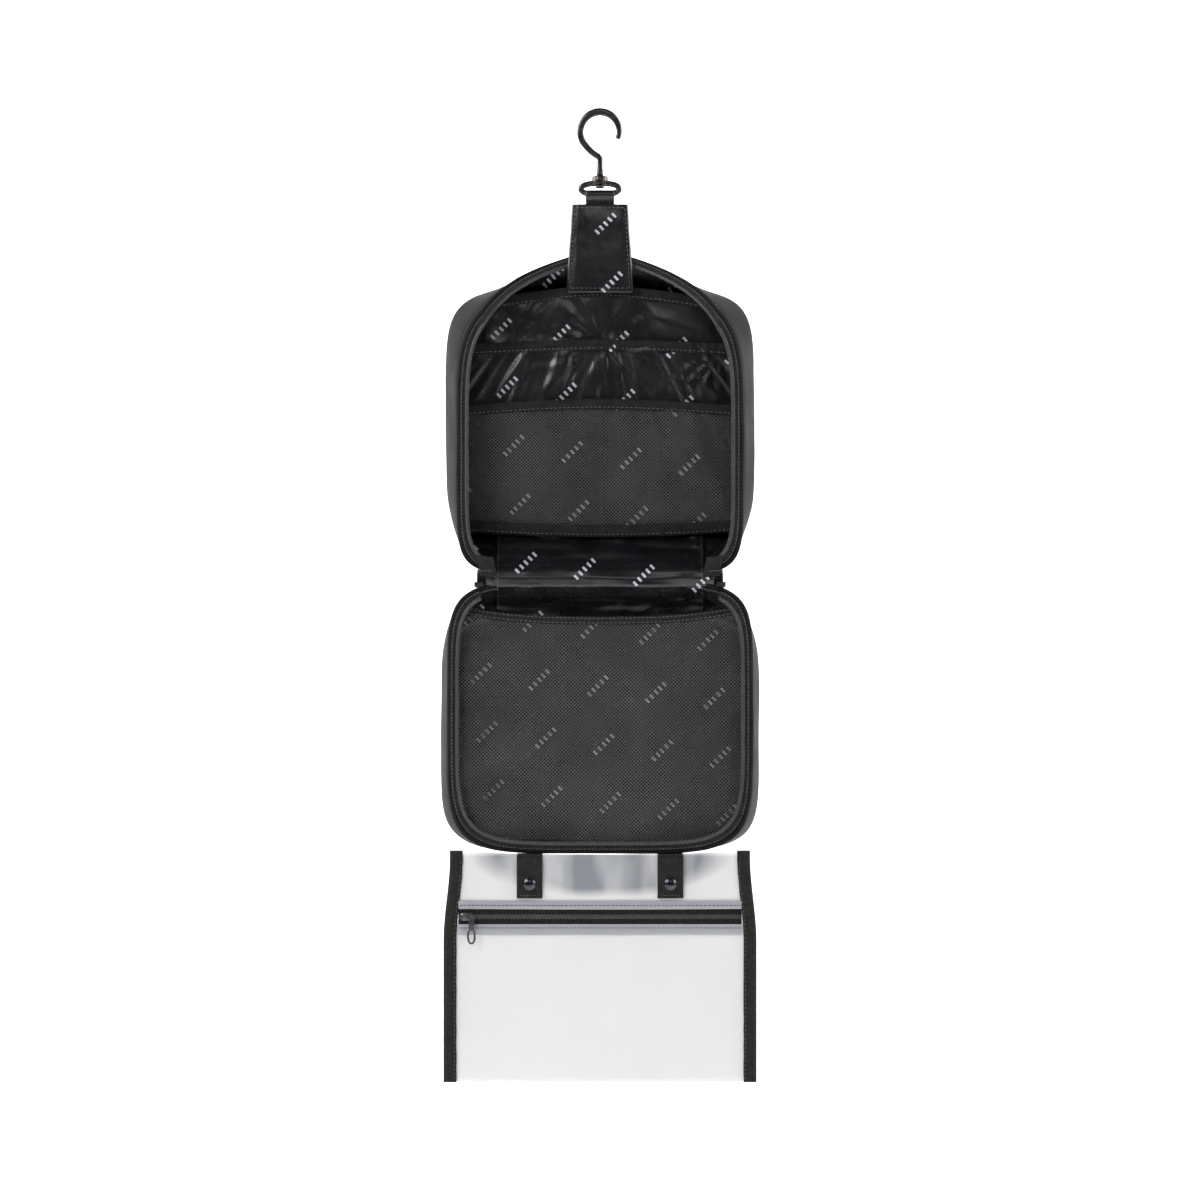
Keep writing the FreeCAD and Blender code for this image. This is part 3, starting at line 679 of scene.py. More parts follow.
def first_face(x, z, u, t):
    sweep = ripple(x / 46 + z / 90, z / 26, 0, 21)
    caught = fan(x, z, 1, -162, 4.2, 22) + 0.7 * fan(x, z, -70, -168, 3.4, 23)
    drape = crease(ripple(x / 38 - z / 52, z / 44 + x / 90, 0, 24)) * smooth_step(t * 8)
    return pocket_depth(6.4, 14.5, t) - 1.6 * sweep - 2.0 * caught - 1.3 * drape


def second_face(x, z, u, t):
    belly = math.sin(math.pi * min(1, abs(u) * 1.05)) * math.sin(math.pi * t) * 3.0
    caught = fan(x, z, 1, -172, 3.6, 31) + fan(x, z, 96, -174, 3.0, 32)
    return pocket_depth(1.2, 11.0, t) - belly - 1.9 * gathered(x, t, 33) - 1.8 * caught


def net_face(x, z, u, t):
    belly = math.sin(math.pi * min(1, abs(u) * 1.02)) ** 0.7 * math.sin(math.pi * t ** 0.8) * 4.6
    slack = ripple(x / 30, z / 40, 0, 41) * smooth_step(t * 5) * 1.6
    hang = crease(ripple(x / 17 + (z + 260) * x / 5200, z / 120, 0, 42)) * smooth_step(t * 4)
    return pocket_depth(-3.8, 4.0, t) - belly - 1.2 * gathered(x, t, 43, 0.8) - slack - 2.0 * hang


def arch(centre, side):
    return lambda u: lerp(centre, side, abs(u) ** 1.6)


def bound_band(name, body, slot, material, line, tall, thick, front, *nodes, rows=5, stitch=True):
    """Strip of binding along a line of points, standing down from it."""
    grid = []
    for k in range(rows + 1):
        drop = tall * k / rows
        round_off = 0.35 * thick * (1 - math.sin(math.pi * k / rows) ** 0.3)
        grid.append([p + Vector((0, -front + round_off + 0.12 * ripple(p.x / 5, k, 0, 51), -drop))
                     for p in line])
    band = thicken(grid_object(name, grid), thick)
    finish_piece(band, material, body, slot, *nodes)
    if stitch:
        low = [p + Vector((0, -front - thick / 2 - 0.1, -tall * 0.78)) for p in line]
        stitches(name + "_stitches", low, (2.2, 1.3, 0.5, 0.4), PALE_THREAD, body, slot)
    return band


def make_pocket(name, face, top, foot, band_tall, panel_node, band_node, seed):
    grid = cloth_between(UPPER, face, top, foot, 120, 60)
    panel = thicken(grid_object(name, grid), 0.35)
    finish_piece(panel, SATIN, "upper_tray", "satin_lining", panel_node)
    edge = [p + Vector((0, 0, 0.4)) for p in grid[0]]
    band = bound_band(name + "_binding", "upper_tray", "grosgrain", GROSGRAIN, edge, band_tall,
                      1.0, 0.7, band_node)
    line_length(edge)
    line_length(edge) * band_tall * MM


def net_strands(surface, inside, low, high, pitch, width=0.55, thick=0.42, step=3.4):
    """Strands of a diamond net over surface(x, z), kept where inside(x, z) holds."""
    pieces = []
    for sign in (1, -1):
        start = low[0] - (high[1] - low[1]) if sign > 0 else low[0]
        stop = high[0] if sign > 0 else high[0] + (high[1] - low[1])
        lane = start
        while lane < stop:
            run = []
            count = int((high[1] - low[1]) / step * 1.4142) + 1
            for k in range(count + 1):
                z = low[1] + (high[1] - low[1]) * k / count
                x = lane + sign * (z - low[1])
                if inside(x, z):
                    run.append(Vector((x, surface(x, z) - 0.13 * sign, z)))
                elif run:
                    break
            if len(run) > 2:
                normals = [FACING] * len(run)
                section = [(width / 2, 0), (0, thick / 2), (-width / 2, 0), (0, -thick / 2)]
                pieces.append(swept(run, normals, section))
            lane += pitch
    return pieces


def make_upper_pockets():
    make_pocket("first_pocket_satin", first_face, lambda u: -120.5 - 10.5 * abs(u) ** 1.5,
                lambda u: -316.0, 9.0, "first_pocket_panel", "first_pocket_band", 1)
    make_pocket("second_pocket_satin", second_face, arch(-163.0, -167.5), lambda u: -315.0, 8.6,
                "second_pocket_panel", "second_pocket_band", 2)

    top, foot = arch(-210.0, -216.0), lambda u: lerp(-313.0, -309.0, abs(u) ** 2)
    half_at = lambda z: inner_half(UPPER, 0.0, z, 4.2)

    def surface(x, z):
        u = max(-1.0, min(1.0, x / half_at(z)))
        return net_face(x, z, u, (top(u) - z) / (top(u) - foot(u)))

    def inside(x, z):
        u = x / half_at(z)
        return abs(u) < 1 and foot(u) - 2 < z < top(u)

    strands = net_strands(surface, inside, (-112, -316), (112, -209), 2.7, 0.46)
    net = join_meshes("upper_net", strands)
    finish_piece(net, NET, "upper_tray", "mesh_net", "mesh_pocket_panel")
    edge = []
    for j in range(121):
        u = 2 * j / 120 - 1
        z = top(u) + 0.6
        edge.append(Vector((u * half_at(z), surface(u * half_at(z), z - 0.6), z)))
    band = bound_band("upper_net_binding", "upper_tray", "grosgrain", GROSGRAIN, edge, 8.2, 1.0,
                      1.9, "mesh_pocket_band")
    line_length(edge)
    line_length(edge) * 8.2 * MM
    low = [Vector((u * 106, surface(u * 106, foot(u) + 6) - 0.6, foot(u) + 4.5))
           for u in [2 * j / 100 - 1 for j in range(101)]]
    foot_band = bound_band("pocket_foot_binding", "upper_tray", "grosgrain", GROSGRAIN, low, 9.0,
                           1.1, 0.8, "pocket_foot_band")
    line_length(low)
    line_length(low) * 9.0 * MM
    seams = []
    for face, z0, z1 in ((second_face, -171, -214), (net_face, -217, -309)):
        count = int((z0 - z1) / 3)
        line = []
        for k in range(count + 1):
            t = k / count
            z = lerp(z0, z1, t)
            line.append(Vector((1, face(1, z, 0.01, 0.06 + 0.9 * t) - 0.5, z)))
        seams += stitch_row(line, 2.2, 0.8, 0.6, 0.5)
    row = join_meshes("pocket_centre_seam", seams)
    finish_piece(row, BLACK_THREAD, "upper_tray", "satin_lining")


def make_lower_net():
    """Net over the lower tray, with a bound top edge that sags in the middle."""
    top = lambda u: -381.5 + 8.5 * abs(u) ** 2.6
    foot = lambda u: -558.0
    face_y = RIM_Y + 5.2

    def surface(x, z):
        u = x / 113
        belly = math.cos(math.pi / 2 * min(1, abs(u))) * math.sin(math.pi * (-375 - z) / 186)
        slack = ripple(x / 40, z / 46, 0, 61) * 1.6 + ripple(x / 15, z / 22, 0, 62) * 0.5
        pulled = crease(ripple(x / 62 - z / 62, x / 150 + z / 150, 0, 63))
        return face_y - 2.2 * max(0, belly) + slack - 2.2 * pulled

    def half_at(z):
        return min(113.5, inner_half(LOWER, face_y, z, 3.6))

    def inside(x, z):
        u = x / half_at(z)
        return abs(u) < 1 and foot(u) < z < top(u)

    strands = net_strands(surface, inside, (-116, -560), (116, -372), 2.8, 0.52, 0.46, 4.0)
    net = join_meshes("lower_net", strands)
    finish_piece(net, NET, "lower_tray", "mesh_net", "lower_mesh_panel")
    edge = []
    for j in range(121):
        u = 2 * j / 120 - 1
        z = top(u) + 1.5
        edge.append(Vector((u * half_at(z - 3), surface(u * 112, z), z)))
    band = bound_band("lower_net_top_binding", "lower_tray", "grosgrain", GROSGRAIN, edge, 6.2,
                      1.0, 0.6, "lower_mesh_top_band")
    line_length(edge)
    line_length(edge) * 6.2 * MM
    upper_row = [p + Vector((0, -1.3, -1.2)) for p in edge]
    stitches("lower_net_top_stitches", upper_row, (1.9, 1.3, 0.5, 0.4),
             PALE_THREAD, "lower_tray", "grosgrain")
    low = [Vector((u * 92, face_y, -553.5)) for u in [2 * j / 90 - 1 for j in range(91)]]
    foot_band = bound_band("lower_net_foot_binding", "lower_tray", "grosgrain", GROSGRAIN, low,
                           5.6, 1.0, 0.7, "lower_mesh_foot_band")
    line_length(low)
    line_length(low) * 5.6 * MM


make_upper_pockets()
make_lower_net()


# ------------------------------------------------------------------ fold between the trays

FOLD_LINE = [(-311, 9.5), (-318, 6.0), (-326, -2.0), (-334, -12.0), (-340, -21.5), (-344.5, -28.0),
             (-350, -29.8), (-355.5, -28.0), (-360, -21.5), (-366, -12.0), (-373, -4.0),
             (-380, 2.5)]


def fold_depth(z):
    """Depth of the fold lining at a height."""
    for (z0, y0), (z1, y1) in zip(FOLD_LINE, FOLD_LINE[1:]):
        if z0 >= z >= z1:
            share = (z0 - z) / (z0 - z1)
            return lerp(y0, y1, smooth_step(share) * 0.4 + 0.6 * (z0 - z) / (z0 - z1))
    return FOLD_LINE[-1][1]


def bend_over_fold(obj):
    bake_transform(obj)


def make_fold_lining():
    half = 82.0
    grid = []
    for i in range(49):
        z = lerp(-311, -380, i / 48)
        near = math.exp(-((z + 350) / 9) ** 2)
        line = []
        for j in range(97):
            u = 2 * j / 96 - 1
            edge = smooth_step((abs(u) - 0.86) / 0.14)
            gather = ripple(z / 3.1, u * 3, 0, 71) * edge * 1.4 * (1 - near * 0.7)
            sweep = ripple(u * 2.6 + z / 40, z / 15, 0, 72) * 3.4 * (1 - edge) * (1 - near * 0.6)
            fold = (math.exp(-((z + 334 - 5 * math.cos(3 * u)) / 3.4) ** 2)
                    * math.exp(-(u * 1.6) ** 2))
            ridge = crease(ripple(u * 3.1 - z / 30, z / 24, 0, 74)) * 1.6 * (1 - edge) * (1 - near)
            tuck = 1.4 * math.exp(-((z + 322 + 6 * u) / 2.6) ** 2) * (1 - edge) - 2.4 * fold
            x = u * half + 0.8 * ripple(z / 6, u * 2, 0, 73) * edge
            y = fold_depth(z) - sweep - gather + tuck - ridge - 0.8 * (1 - near)
            line.append(Vector((x, y, z)))
        grid.append(line)
    lining = thicken(grid_object("fold_lining", grid), 0.35)
    finish_piece(lining, SATIN, None, "satin_lining", "fold_lining_upper", "fold_lining_lower")
    bend_over_fold(lining)
    pieces = []
    for side in (-1, 1):
        line = [Vector((side * 79.5, fold_depth(z) - 1.6, z))
                for z in [lerp(-313, -378, k / 60) for k in range(61)]]
        pieces += stitch_row(line, 2.0, 1.1, 0.5, 0.5)
    row = join_meshes("fold_lining_stitches", pieces)
    row.data.materials.append(BLACK_THREAD)
    bend_over_fold(row)


def make_fold_sides():
    """Gathered satin between the lining panel and the ends of the zips, one each side."""
    for side, word in ((-1, "left"), (1, "right")):
        grid = []
        for i in range(33):
            z = lerp(-318, -378, i / 32)
            near = math.exp(-((z + 350) / 10) ** 2)
            shape = UPPER if z > FOLD.z else LOWER
            reach = max(89.0, inner_half(shape, fold_depth(z) + 3.0, z, 3.0))
            line = []
            for j in range(21):
                v = j / 20
                x = lerp(81.0, reach, v)
                tuck = ripple(z / 4.5, v * 2.2, side, 75) * 1.5 * math.sin(math.pi * v)
                y = fold_depth(z) + 0.5 + (3.5 * (1 - near)) * v - tuck
                line.append(Vector((side * x, y, z)))
            grid.append(line)
        sheet = thicken(grid_object("fold_side_" + word, grid), 0.35)
        finish_piece(sheet, SATIN, None, "satin_lining")
        bend_over_fold(sheet)


def make_spine():
    """Coated strip that joins the two shells behind the fold lining."""
    profile = [(-343.5, -15.2), (-346.3, -21.5), (-348.4, -25.4), (-350, -26.3), (-351.6, -25.4),
               (-353.7, -21.5), (-356.5, -15.2)]
    grid = [[Vector((u * 96, y + 0.15 * ripple(u * 12, z / 4, 0, 81), z))
             for u in [2 * j / 80 - 1 for j in range(81)]] for z, y in profile]
    spine = thicken(grid_object("fold_spine", grid), 0.8)
    finish_piece(spine, PU, None, "coated_pu", "fold_seam_cord")
    bend_over_fold(spine)


def make_end_tabs():
    """Folded tape at the ends of the upper zip, with its cut edge and a stitched bar."""
    for side, word in ((-1, "left"), (1, "right")):
        low, high = node_box("zip_end_tabs")
        grid = []
        for i in range(9):
            t = i / 8
            z = lerp(high.z + 3, low.z - 3.5, t)
            y = low.y - 0.5 - 1.1 * math.sin(math.pi * t)
            x0 = lerp(83, 80, t)
            grid.append([Vector((side * lerp(x0, x0 + 13, j / 10),
                                 y + 0.25 * ripple(j / 2.5, t * 3, side, 85), z + 0.12 * j))
                         for j in range(11)])
        tab = thicken(grid_object("zip_end_fold_" + word, grid), 1.2)
        if side < 0:
            finish_piece(tab, GROSGRAIN, "upper_tray", "zip_tape", "zip_end_tabs")
        else:
            finish_piece(tab, GROSGRAIN, "upper_tray", "zip_tape")
        line = [Vector((side * lerp(84, 94, k / 10), low.y - 2.2, low.z + 1.5)) for k in range(11)]
        stitches("zip_end_bar_" + word, line, (1.3, 0.5, 0.7, 0.5),
                 BLACK_THREAD, "upper_tray", "zip_tape")


# ------------------------------------------------------------------ hanger, ring and hook

def make_tab():
    """Stitched satin tab: two plies round the webbing, sewn shut along its sides."""
    low, high = node_box("tab_front_ply")
    _, back_high = node_box("tab_back_ply")
    top_half, foot_half = 21.85, 26.5
    middle_y = (low.y + back_high.y) / 2

    def half_at(z):
        return lerp(foot_half, top_half, (z - low.z) / (high.z - low.z))

    rings = []
    rows, columns = 44, 30
    for i in range(rows + 1):
        z = lerp(high.z + 0.3, low.z - 1.0, i / rows)
        half = half_at(z) + 0.25 * ripple(z / 9, 0, 0, 91)
        thick = 1.7 + 0.9 * smooth_step((i / rows) * 5) * smooth_step((1 - i / rows) * 6)
        front, back = [], []
        for j in range(columns + 1):
            u = 2 * j / columns - 1
            inside = 1 - abs(u) ** 6
            seam = 0.55 * math.exp(-((abs(u) - 0.88) / 0.045) ** 2)
            dent = 0.4 * ripple(u * 2.2, z / 17, 0, 92) + 0.2 * ripple(u * 6, z / 7, 0, 93)
            y = thick * (0.35 + 0.65 * inside) - seam + dent * inside
            front.append(Vector((u * half, middle_y - y, z)))
            back.append(Vector((u * half, middle_y + min(1.9, y), z)))
        rings.append(front + back[::-1][1:-1])
    count = len(rings[0])
    points = [p for r in rings for p in r]
    faces = grid_faces(len(rings), count, False, True)
    faces += [tuple(reversed(range(count))), tuple(range(len(points) - count, len(points)))]
    tab = mesh_object("hanger_tab", points, faces)
    finish_piece(tab, SATIN, "hanger", "satin_lining", "tab_front_ply", "tab_back_ply")
    pieces = []
    for side in (-1, 1):
        line = [Vector((side * 0.885 * half_at(z), middle_y - 1.95, z))
                for z in [lerp(high.z - 2.5, low.z + 2, k / 40) for k in range(41)]]
        pieces += stitch_row(line, 2.2, 1.4, 0.45, 0.4)
    for z in (high.z - 2.5, low.z + 2.5):
        half = half_at(z) * 0.88
        line = [Vector((half * (k / 15 - 1), middle_y - (2.45 if z < -100 else 2.1), z))
                for k in range(31)]
        pieces += stitch_row(line, 2.2, 1.4, 0.45, 0.4)
    row = join_meshes("hanger_tab_stitches", pieces)
    finish_piece(row, PALE_THREAD, "hanger", "satin_lining")


def make_strap():
    """Folded satin strap that loops round the ring's lower bar."""
    low, high = node_box("hanger_strap")
    centre = Vector((0, 0, high.z - 3.75))
    half = (high.x - low.x) / 2 + 0.4
    line = []
    for k in range(16):
        turn = math.radians(lerp(-52, 232, k / 15))
        line.append(Vector((0, centre.y + 3.15 * math.cos(turn), centre.z + 3.15 * math.sin(turn))))
    line = ([Vector((0, 0.95, z)) for z in (-60, -56, -53.5)] + line
            + [Vector((0, -0.95, z)) for z in (-53.5, -56, -60)])
    grid = [[p + Vector((half * (j / 10 - 1), 0.1 * ripple(j / 3, k, 0, 95), 0))
             for j in range(21)] for k, p in enumerate(line)]
    strap = thicken(grid_object("ring_strap", grid), 0.9)
    finish_piece(strap, SATIN, "hanger", "satin_lining", "hanger_strap")
    length = line_length(line)


def refinish(node, material):
    """Give a CAD node its finish in place."""
    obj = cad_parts[node]
    obj.data.materials.clear()
    obj.data.materials.append(material)


def make_hook():
    """Cast hook: its eye is thickest over the top, then a neck, an elbow and a shank."""
    radius, elbow_z = 12.8, -20.0
    stations = []
    for k in range(61):
        turn = math.radians(lerp(-17, 222, k / 60))
        over_top = max(0.0, math.sin(turn)) ** 1.3
        wall = lerp(4.6 if math.cos(turn) > 0 else 5.3, 5.4 if k < 8 else 6.2, over_top)
        wall -= 0.5 * smooth_step((6 - k) / 6)
        middle = radius + wall / 2
        stations.append((Vector((middle * math.cos(turn), 0, middle * math.sin(turn))), wall, 5.5))
    foot = stations[-1][0]
    for t, wall in ((0.2, 5.2), (0.4, 5.15), (0.6, 5.1), (0.78, 5.0), (0.9, 4.9)):
        out = Vector((-0.8 * math.sin(math.pi * t), 0, -0.5 * math.sin(math.pi * t)))
        stations.append((foot.lerp(Vector((0, 0, elbow_z)), t) + out, wall, 5.3))
    for z, wall in ((elbow_z - 0.6, 4.8), (-22.4, 4.5), (-25, 4.4), (-28, 4.6), (-31, 5.0),
                    (-33, 5.3), (-34.5, 5.5)):
        stations.append((Vector((0, 0, z)), wall, wall))
    path = [s[0] for s in stations]
    rings = []
    for (point, wall, wide), along in zip(stations, tangents(path)):
        side = Vector((0, 1, 0))
        across = along.cross(side).normalized()
        ring_points = []
        for k in range(20):
            turn = 2 * math.pi * k / 20
            c, s = math.cos(turn), math.sin(turn)
            c = math.copysign(abs(c) ** 0.8, c)
            s = math.copysign(abs(s) ** 0.8, s)
            ring_points.append(point + across * (wall / 2 * c) + side * (wide / 2 * s))
        rings.append(ring_points)
    tip = stations[0][0]
    along = (path[0] - path[1]).normalized()
    for grow, scale in ((0.7, 0.9), (1.2, 0.6)):
        source = rings[0 if grow < 1 else 1]
        rings.insert(0, [tip + along * grow + (p - tip) * scale for p in source])
    points = [p for r in rings for p in r]
    faces = grid_faces(len(rings), 20, False, True)
    faces += [tuple(reversed(range(20))), tuple(range(len(points) - 20, len(points)))]
    pin = [[Vector((r * c, r * s, z)) for c, s in circle(20)]
           for z, r in ((-34.4, 2.3), (-41.2, 2.3), (-41.3, 3.0), (-41.7, 3.25), (-43.6, 3.25),
                        (-44.2, 2.9), (-44.4, 1.6))]
    first = len(points)
    points += [p for r in pin for p in r]
    faces += grid_faces(len(pin), 20, False, True, first)
    faces.append(tuple(range(len(points) - 20, len(points))))
    hook = mesh_object("cast_hook", points, faces)
    finish_piece(hook, GUNMETAL, "hook", "gunmetal", "swivel_hook", "hook_retainer")


def lathe(profile, steps=32):
    """Points and faces of a solid turned about Z from (radius, height) pairs."""
    rings = [[Vector((r * c, r * s, z)) for c, s in circle(steps)] for r, z in profile]
    points = [p for r in rings for p in r]
    faces = grid_faces(len(rings), steps, False, True)
    faces += [tuple(reversed(range(steps))), tuple(range(len(points) - steps, len(points)))]
    return points, faces


def make_ring():
    """Oval wire ring with a bored collar on its upper bar."""
    low, high = node_box("swivel_ring")
    wire = 2.35
    bar_z = low.z + 2.35
    reach, drop = high.x - wire, 4.45
    path = []
    for k in range(96):
        turn = 2 * math.pi * k / 96
        c, s = math.cos(turn), math.sin(turn)
        path.append(Vector((reach * math.copysign(abs(c) ** 0.75, c), 0,
                            bar_z + drop + drop * math.copysign(abs(s) ** 0.95, s))))
    path = resample(path, 1.0, closed=True)
    oval = swept(path, [Vector((0, 1, 0))] * len(path), round_wire(wire, 14), closed=True)
    collar = lathe([(2.6, -41.1), (5.9, -41.1), (6.35, -40.6), (6.4, -38), (6.35, -35.2),
                    (5.8, -34.65), (2.6, -34.6)])
    ring_mesh = join_meshes("oval_ring", [oval, collar])
    finish_piece(ring_mesh, GUNMETAL, "ring", "gunmetal", "swivel_ring")


# ------------------------------------------------------------------ pouch and snaps

def make_pouch_sheet(name, node, slack, seed):
    low, high = node_box(node)
    y = (low.y + high.y) / 2
    if high.z > LIP_Z - 5:
        high.z = LIP_Z + (4.2 if node == "pouch_front_top" else 1.2)
    away = 1 if node == "pouch_back_sheet" else -1

    def half_at(z):
        return lerp(116.0, 121.0, smooth_step((LIP_Z - z) / 66)) - 0.6

    def dip_at(x):
        """How far the top edge hangs, between the sides and where it passes under a strap."""
        if node != "pouch_front_top":
            return 0.0
        under_strap = smooth_step((10.8 - abs(abs(x) - SNAP_X)) / 2.0)
        return max(2.2 * (1 - (x / 116) ** 2), 3.0 * under_strap)

    grid = []
    rows = max(10, int((high.z - low.z) / 3.2))
    for i in range(rows + 1):
        z = lerp(high.z, low.z, i / rows)
        line = []
        for j in range(161):
            u = 2 * j / 160 - 1
            free = (1 - abs(u) ** 4) * math.sin(math.pi * min(1, i / rows * 0.98 + 0.01)) ** 0.6
            wave = ripple(u * 1.5, z / 60, 0, seed) + 0.35 * ripple(u * 5, z / 26, 0, seed + 1)
            sag = 1.2 * math.cos(math.pi / 2 * u) * smooth_step((low.z + 40 - z) / 40) * 0.4
            bulge = away * slack * (0.5 + 0.4 * max(-1, min(1, wave))) * free
            x = u * half_at(z)
            dip = dip_at(x) * smooth_step((z - high.z + 20) / 20)
            line.append(Vector((x, y + bulge, z - sag - dip)))
        grid.append(line)
    sheet = thicken(grid_object(name, grid), 0.3)
    finish_piece(sheet, VINYL_TOP if node == "pouch_front_top" else VINYL, "pouch", "clear_vinyl",
                 node)
    return sheet


def make_side_bindings():
    """Grosgrain folded round each side of the pouch, front and back, with a stitch line."""
    for side, word in ((-1, "left"), (1, "right")):
        low, high = node_box("pouch_binding_" + word)
        grid = []
        count = 70
        for i in range(count + 1):
            z = lerp(LIP_Z + 5.0, low.z - 0.4, i / count)
            outer = lerp(116.0, 121.0, smooth_step((LIP_Z - z) / 66)) + 0.4
            inner = outer - 9.6
            wave = 0.25 * ripple(z / 8, 0, side, 101)
            front, back = low.y - 0.5, low.y + 3.0
            line = [(inner + wave, front + 0.3), (inner + 3, front), (outer - 2, front),
                    (outer, front + 0.7), (outer + 0.35, (front + back) / 2), (outer, back - 0.6),
                    (outer - 2, back), (inner + 3, back), (inner + wave, back - 0.3)]
            grid.append([Vector((side * x, y + 0.2 * ripple(z / 6, x / 5, side, 102), z))
                         for x, y in line])
        binding = thicken(grid_object("pouch_side_binding_" + word, grid), 0.5)
        finish_piece(binding, GROSGRAIN, "pouch", "grosgrain", "pouch_binding_" + word)
        line = []
        for i in range(60):
            z = lerp(high.z - 1, low.z + 1, i / 59)
            outer = lerp(116.0, 121.0, smooth_step((LIP_Z - z) / 66)) + 0.4
            line.append(Vector((side * (outer - 8.2), low.y - 0.95, z)))
        stitches("pouch_binding_stitches_" + word, line, (2.2, 1.2, 0.45, 0.4),
                 BLACK_THREAD, "pouch", "grosgrain")


def make_pouch_zip():
    for node, material, name in (("pouch_upper_hem", VINYL_HEM, "pouch_hem_upper"),
                                 ("pouch_lower_hem", VINYL_HEM, "pouch_hem_lower"),
                                 ("pouch_zip_tape", TAPE, "pouch_tape")):
        low, high = node_box(node)
        y = low.y - 0.15 if material is VINYL_HEM else (low.y + high.y) / 2
        grid = [[Vector((lerp(-110.2, 110.2, j / 90),
                         y - 0.25 * math.sin(math.pi * i / 6) + 0.1 * ripple(j / 7, i / 3, 0, 105),
                         lerp(high.z, low.z, i / 6) + 0.25 * ripple(j / 12, 0, i, 106)))
                 for j in range(91)] for i in range(7)]
        strip = thicken(grid_object(name, grid), 0.35)
        slot = "zip_tape" if material is TAPE else "clear_vinyl"
        finish_piece(strip, material, "pouch", slot, node)
    for word, z in (("upper", -604.7), ("lower", -622.2)):
        low, high = node_box("pouch_upper_hem")
        line = [Vector((lerp(-110, 110, j / 80), low.y - 0.85, z)) for j in range(81)]
        stitches("pouch_hem_stitches_" + word, line, (2.3, 1.0, 0.6, 0.45),
                 BLACK_THREAD, "pouch", "zip_tape")
    low, high = node_box("pouch_zip_coil")
    z, y = (low.z + high.z) / 2, low.y + 0.35
    pieces = []
    count = int((high.x - low.x) / 1.25)
    for k in range(count):
        x = low.x + (k + 0.5) * 1.25
        lean = 0.35 if k % 2 else -0.35
        pieces.append(bead(Vector((x, y, z + lean)), Vector((0.12, 0, 1)).normalized(),
                           FACING, 3.7, 0.8, 1.3))
    pieces.append(swept([Vector((low.x, y + 0.3, z)), Vector((high.x, y + 0.3, z))],
                        [FACING] * 2, round_section(3.0, 0.9, 1)))
    coil = join_meshes("pouch_coil_teeth", pieces)
    finish_piece(coil, COIL, "pouch", "zip_coil", "pouch_zip_coil")


def slab(outline, y0, y1, bevel=0.35):
    """Points and faces of a flat plate with bevelled edges, from an (x, z) outline."""
    count = len(outline)
    cx = sum(p[0] for p in outline) / count
    cz = sum(p[1] for p in outline) / count
    half = max(abs(p[0] - cx) for p in outline)
    points = []
    for y, inset in ((y0, bevel), (y0 + bevel, 0), (y1 - bevel, 0), (y1, bevel)):
        shrink = 1 - inset / half
        points += [Vector((cx + (x - cx) * shrink, y, cz + (z - cz) * shrink)) for x, z in outline]
    faces = grid_faces(4, count, False, True)
    faces += [tuple(reversed(range(count))), tuple(range(3 * count, 4 * count))]
    return points, faces


def rounded_box(x0, x1, z0, z1, radius, steps=5):
    outline = []
    for cx, cz, start in ((x1 - radius, z1 - radius, 0), (x0 + radius, z1 - radius, 90),
                          (x0 + radius, z0 + radius, 180), (x1 - radius, z0 + radius, 270)):
        for k in range(steps + 1):
            turn = math.radians(start + 90 * k / steps)
            outline.append((cx + radius * math.cos(turn), cz + radius * math.sin(turn)))
    return outline


def make_pouch_slider():
    low, high = node_box("pouch_slider")
    cx, cz = (low.x + high.x) / 2, (low.z + high.z) / 2
    body = slab(rounded_box(low.x, high.x - 1.5, low.z + 0.4, high.z - 0.4, 2.4), low.y + 0.5,
                high.y + 0.2, 0.5)
    nose = slab(rounded_box(high.x - 5, high.x, cz - 2.0, cz + 2.0, 1.4), low.y + 0.6,
                high.y + 0.1, 0.4)
    arch_line = [Vector((lerp(low.x + 2, high.x - 3, k / 10), low.y + 0.6
                         - 1.5 * math.sin(math.pi * k / 10), cz)) for k in range(11)]
    bridge = swept(arch_line, [Vector((0, 0, 1))] * 11, round_section(0.8, 2.2, 2))
    slider = join_meshes("pouch_slider_body", [body, nose, bridge])
    finish_piece(slider, PULL_METAL, "pouch_slider", "pull_metal", "pouch_slider")
    low, high = node_box("pouch_pull")
    cx = (low.x + high.x) / 2
    wide = 3.4
    loop = [Vector((cx + (wide - 0.9) * math.cos(2 * math.pi * k / 40), (low.y + high.y) / 2,
                    low.z + 6.4 + (5.5) * math.sin(2 * math.pi * k / 40))) for k in range(40)]
    loop = [Vector((cx + math.copysign(abs((p.x - cx) / (wide - 0.9)) ** 0.7, p.x - cx)
                    * (wide - 0.8), p.y, p.z)) for p in loop]
    wire = swept(loop, [FACING] * 40, round_wire(0.8, 10), closed=True)
    plate = slab(rounded_box(cx - 2.1, cx + 2.1, low.z + 10.6, high.z - 0.4, 1.0), low.y + 0.15,
                 high.y - 0.15, 0.3)
    pull = join_meshes("pouch_pull_loop", [wire, plate])
    finish_piece(pull, PULL_METAL, "pouch_pull", "pull_metal", "pouch_pull")


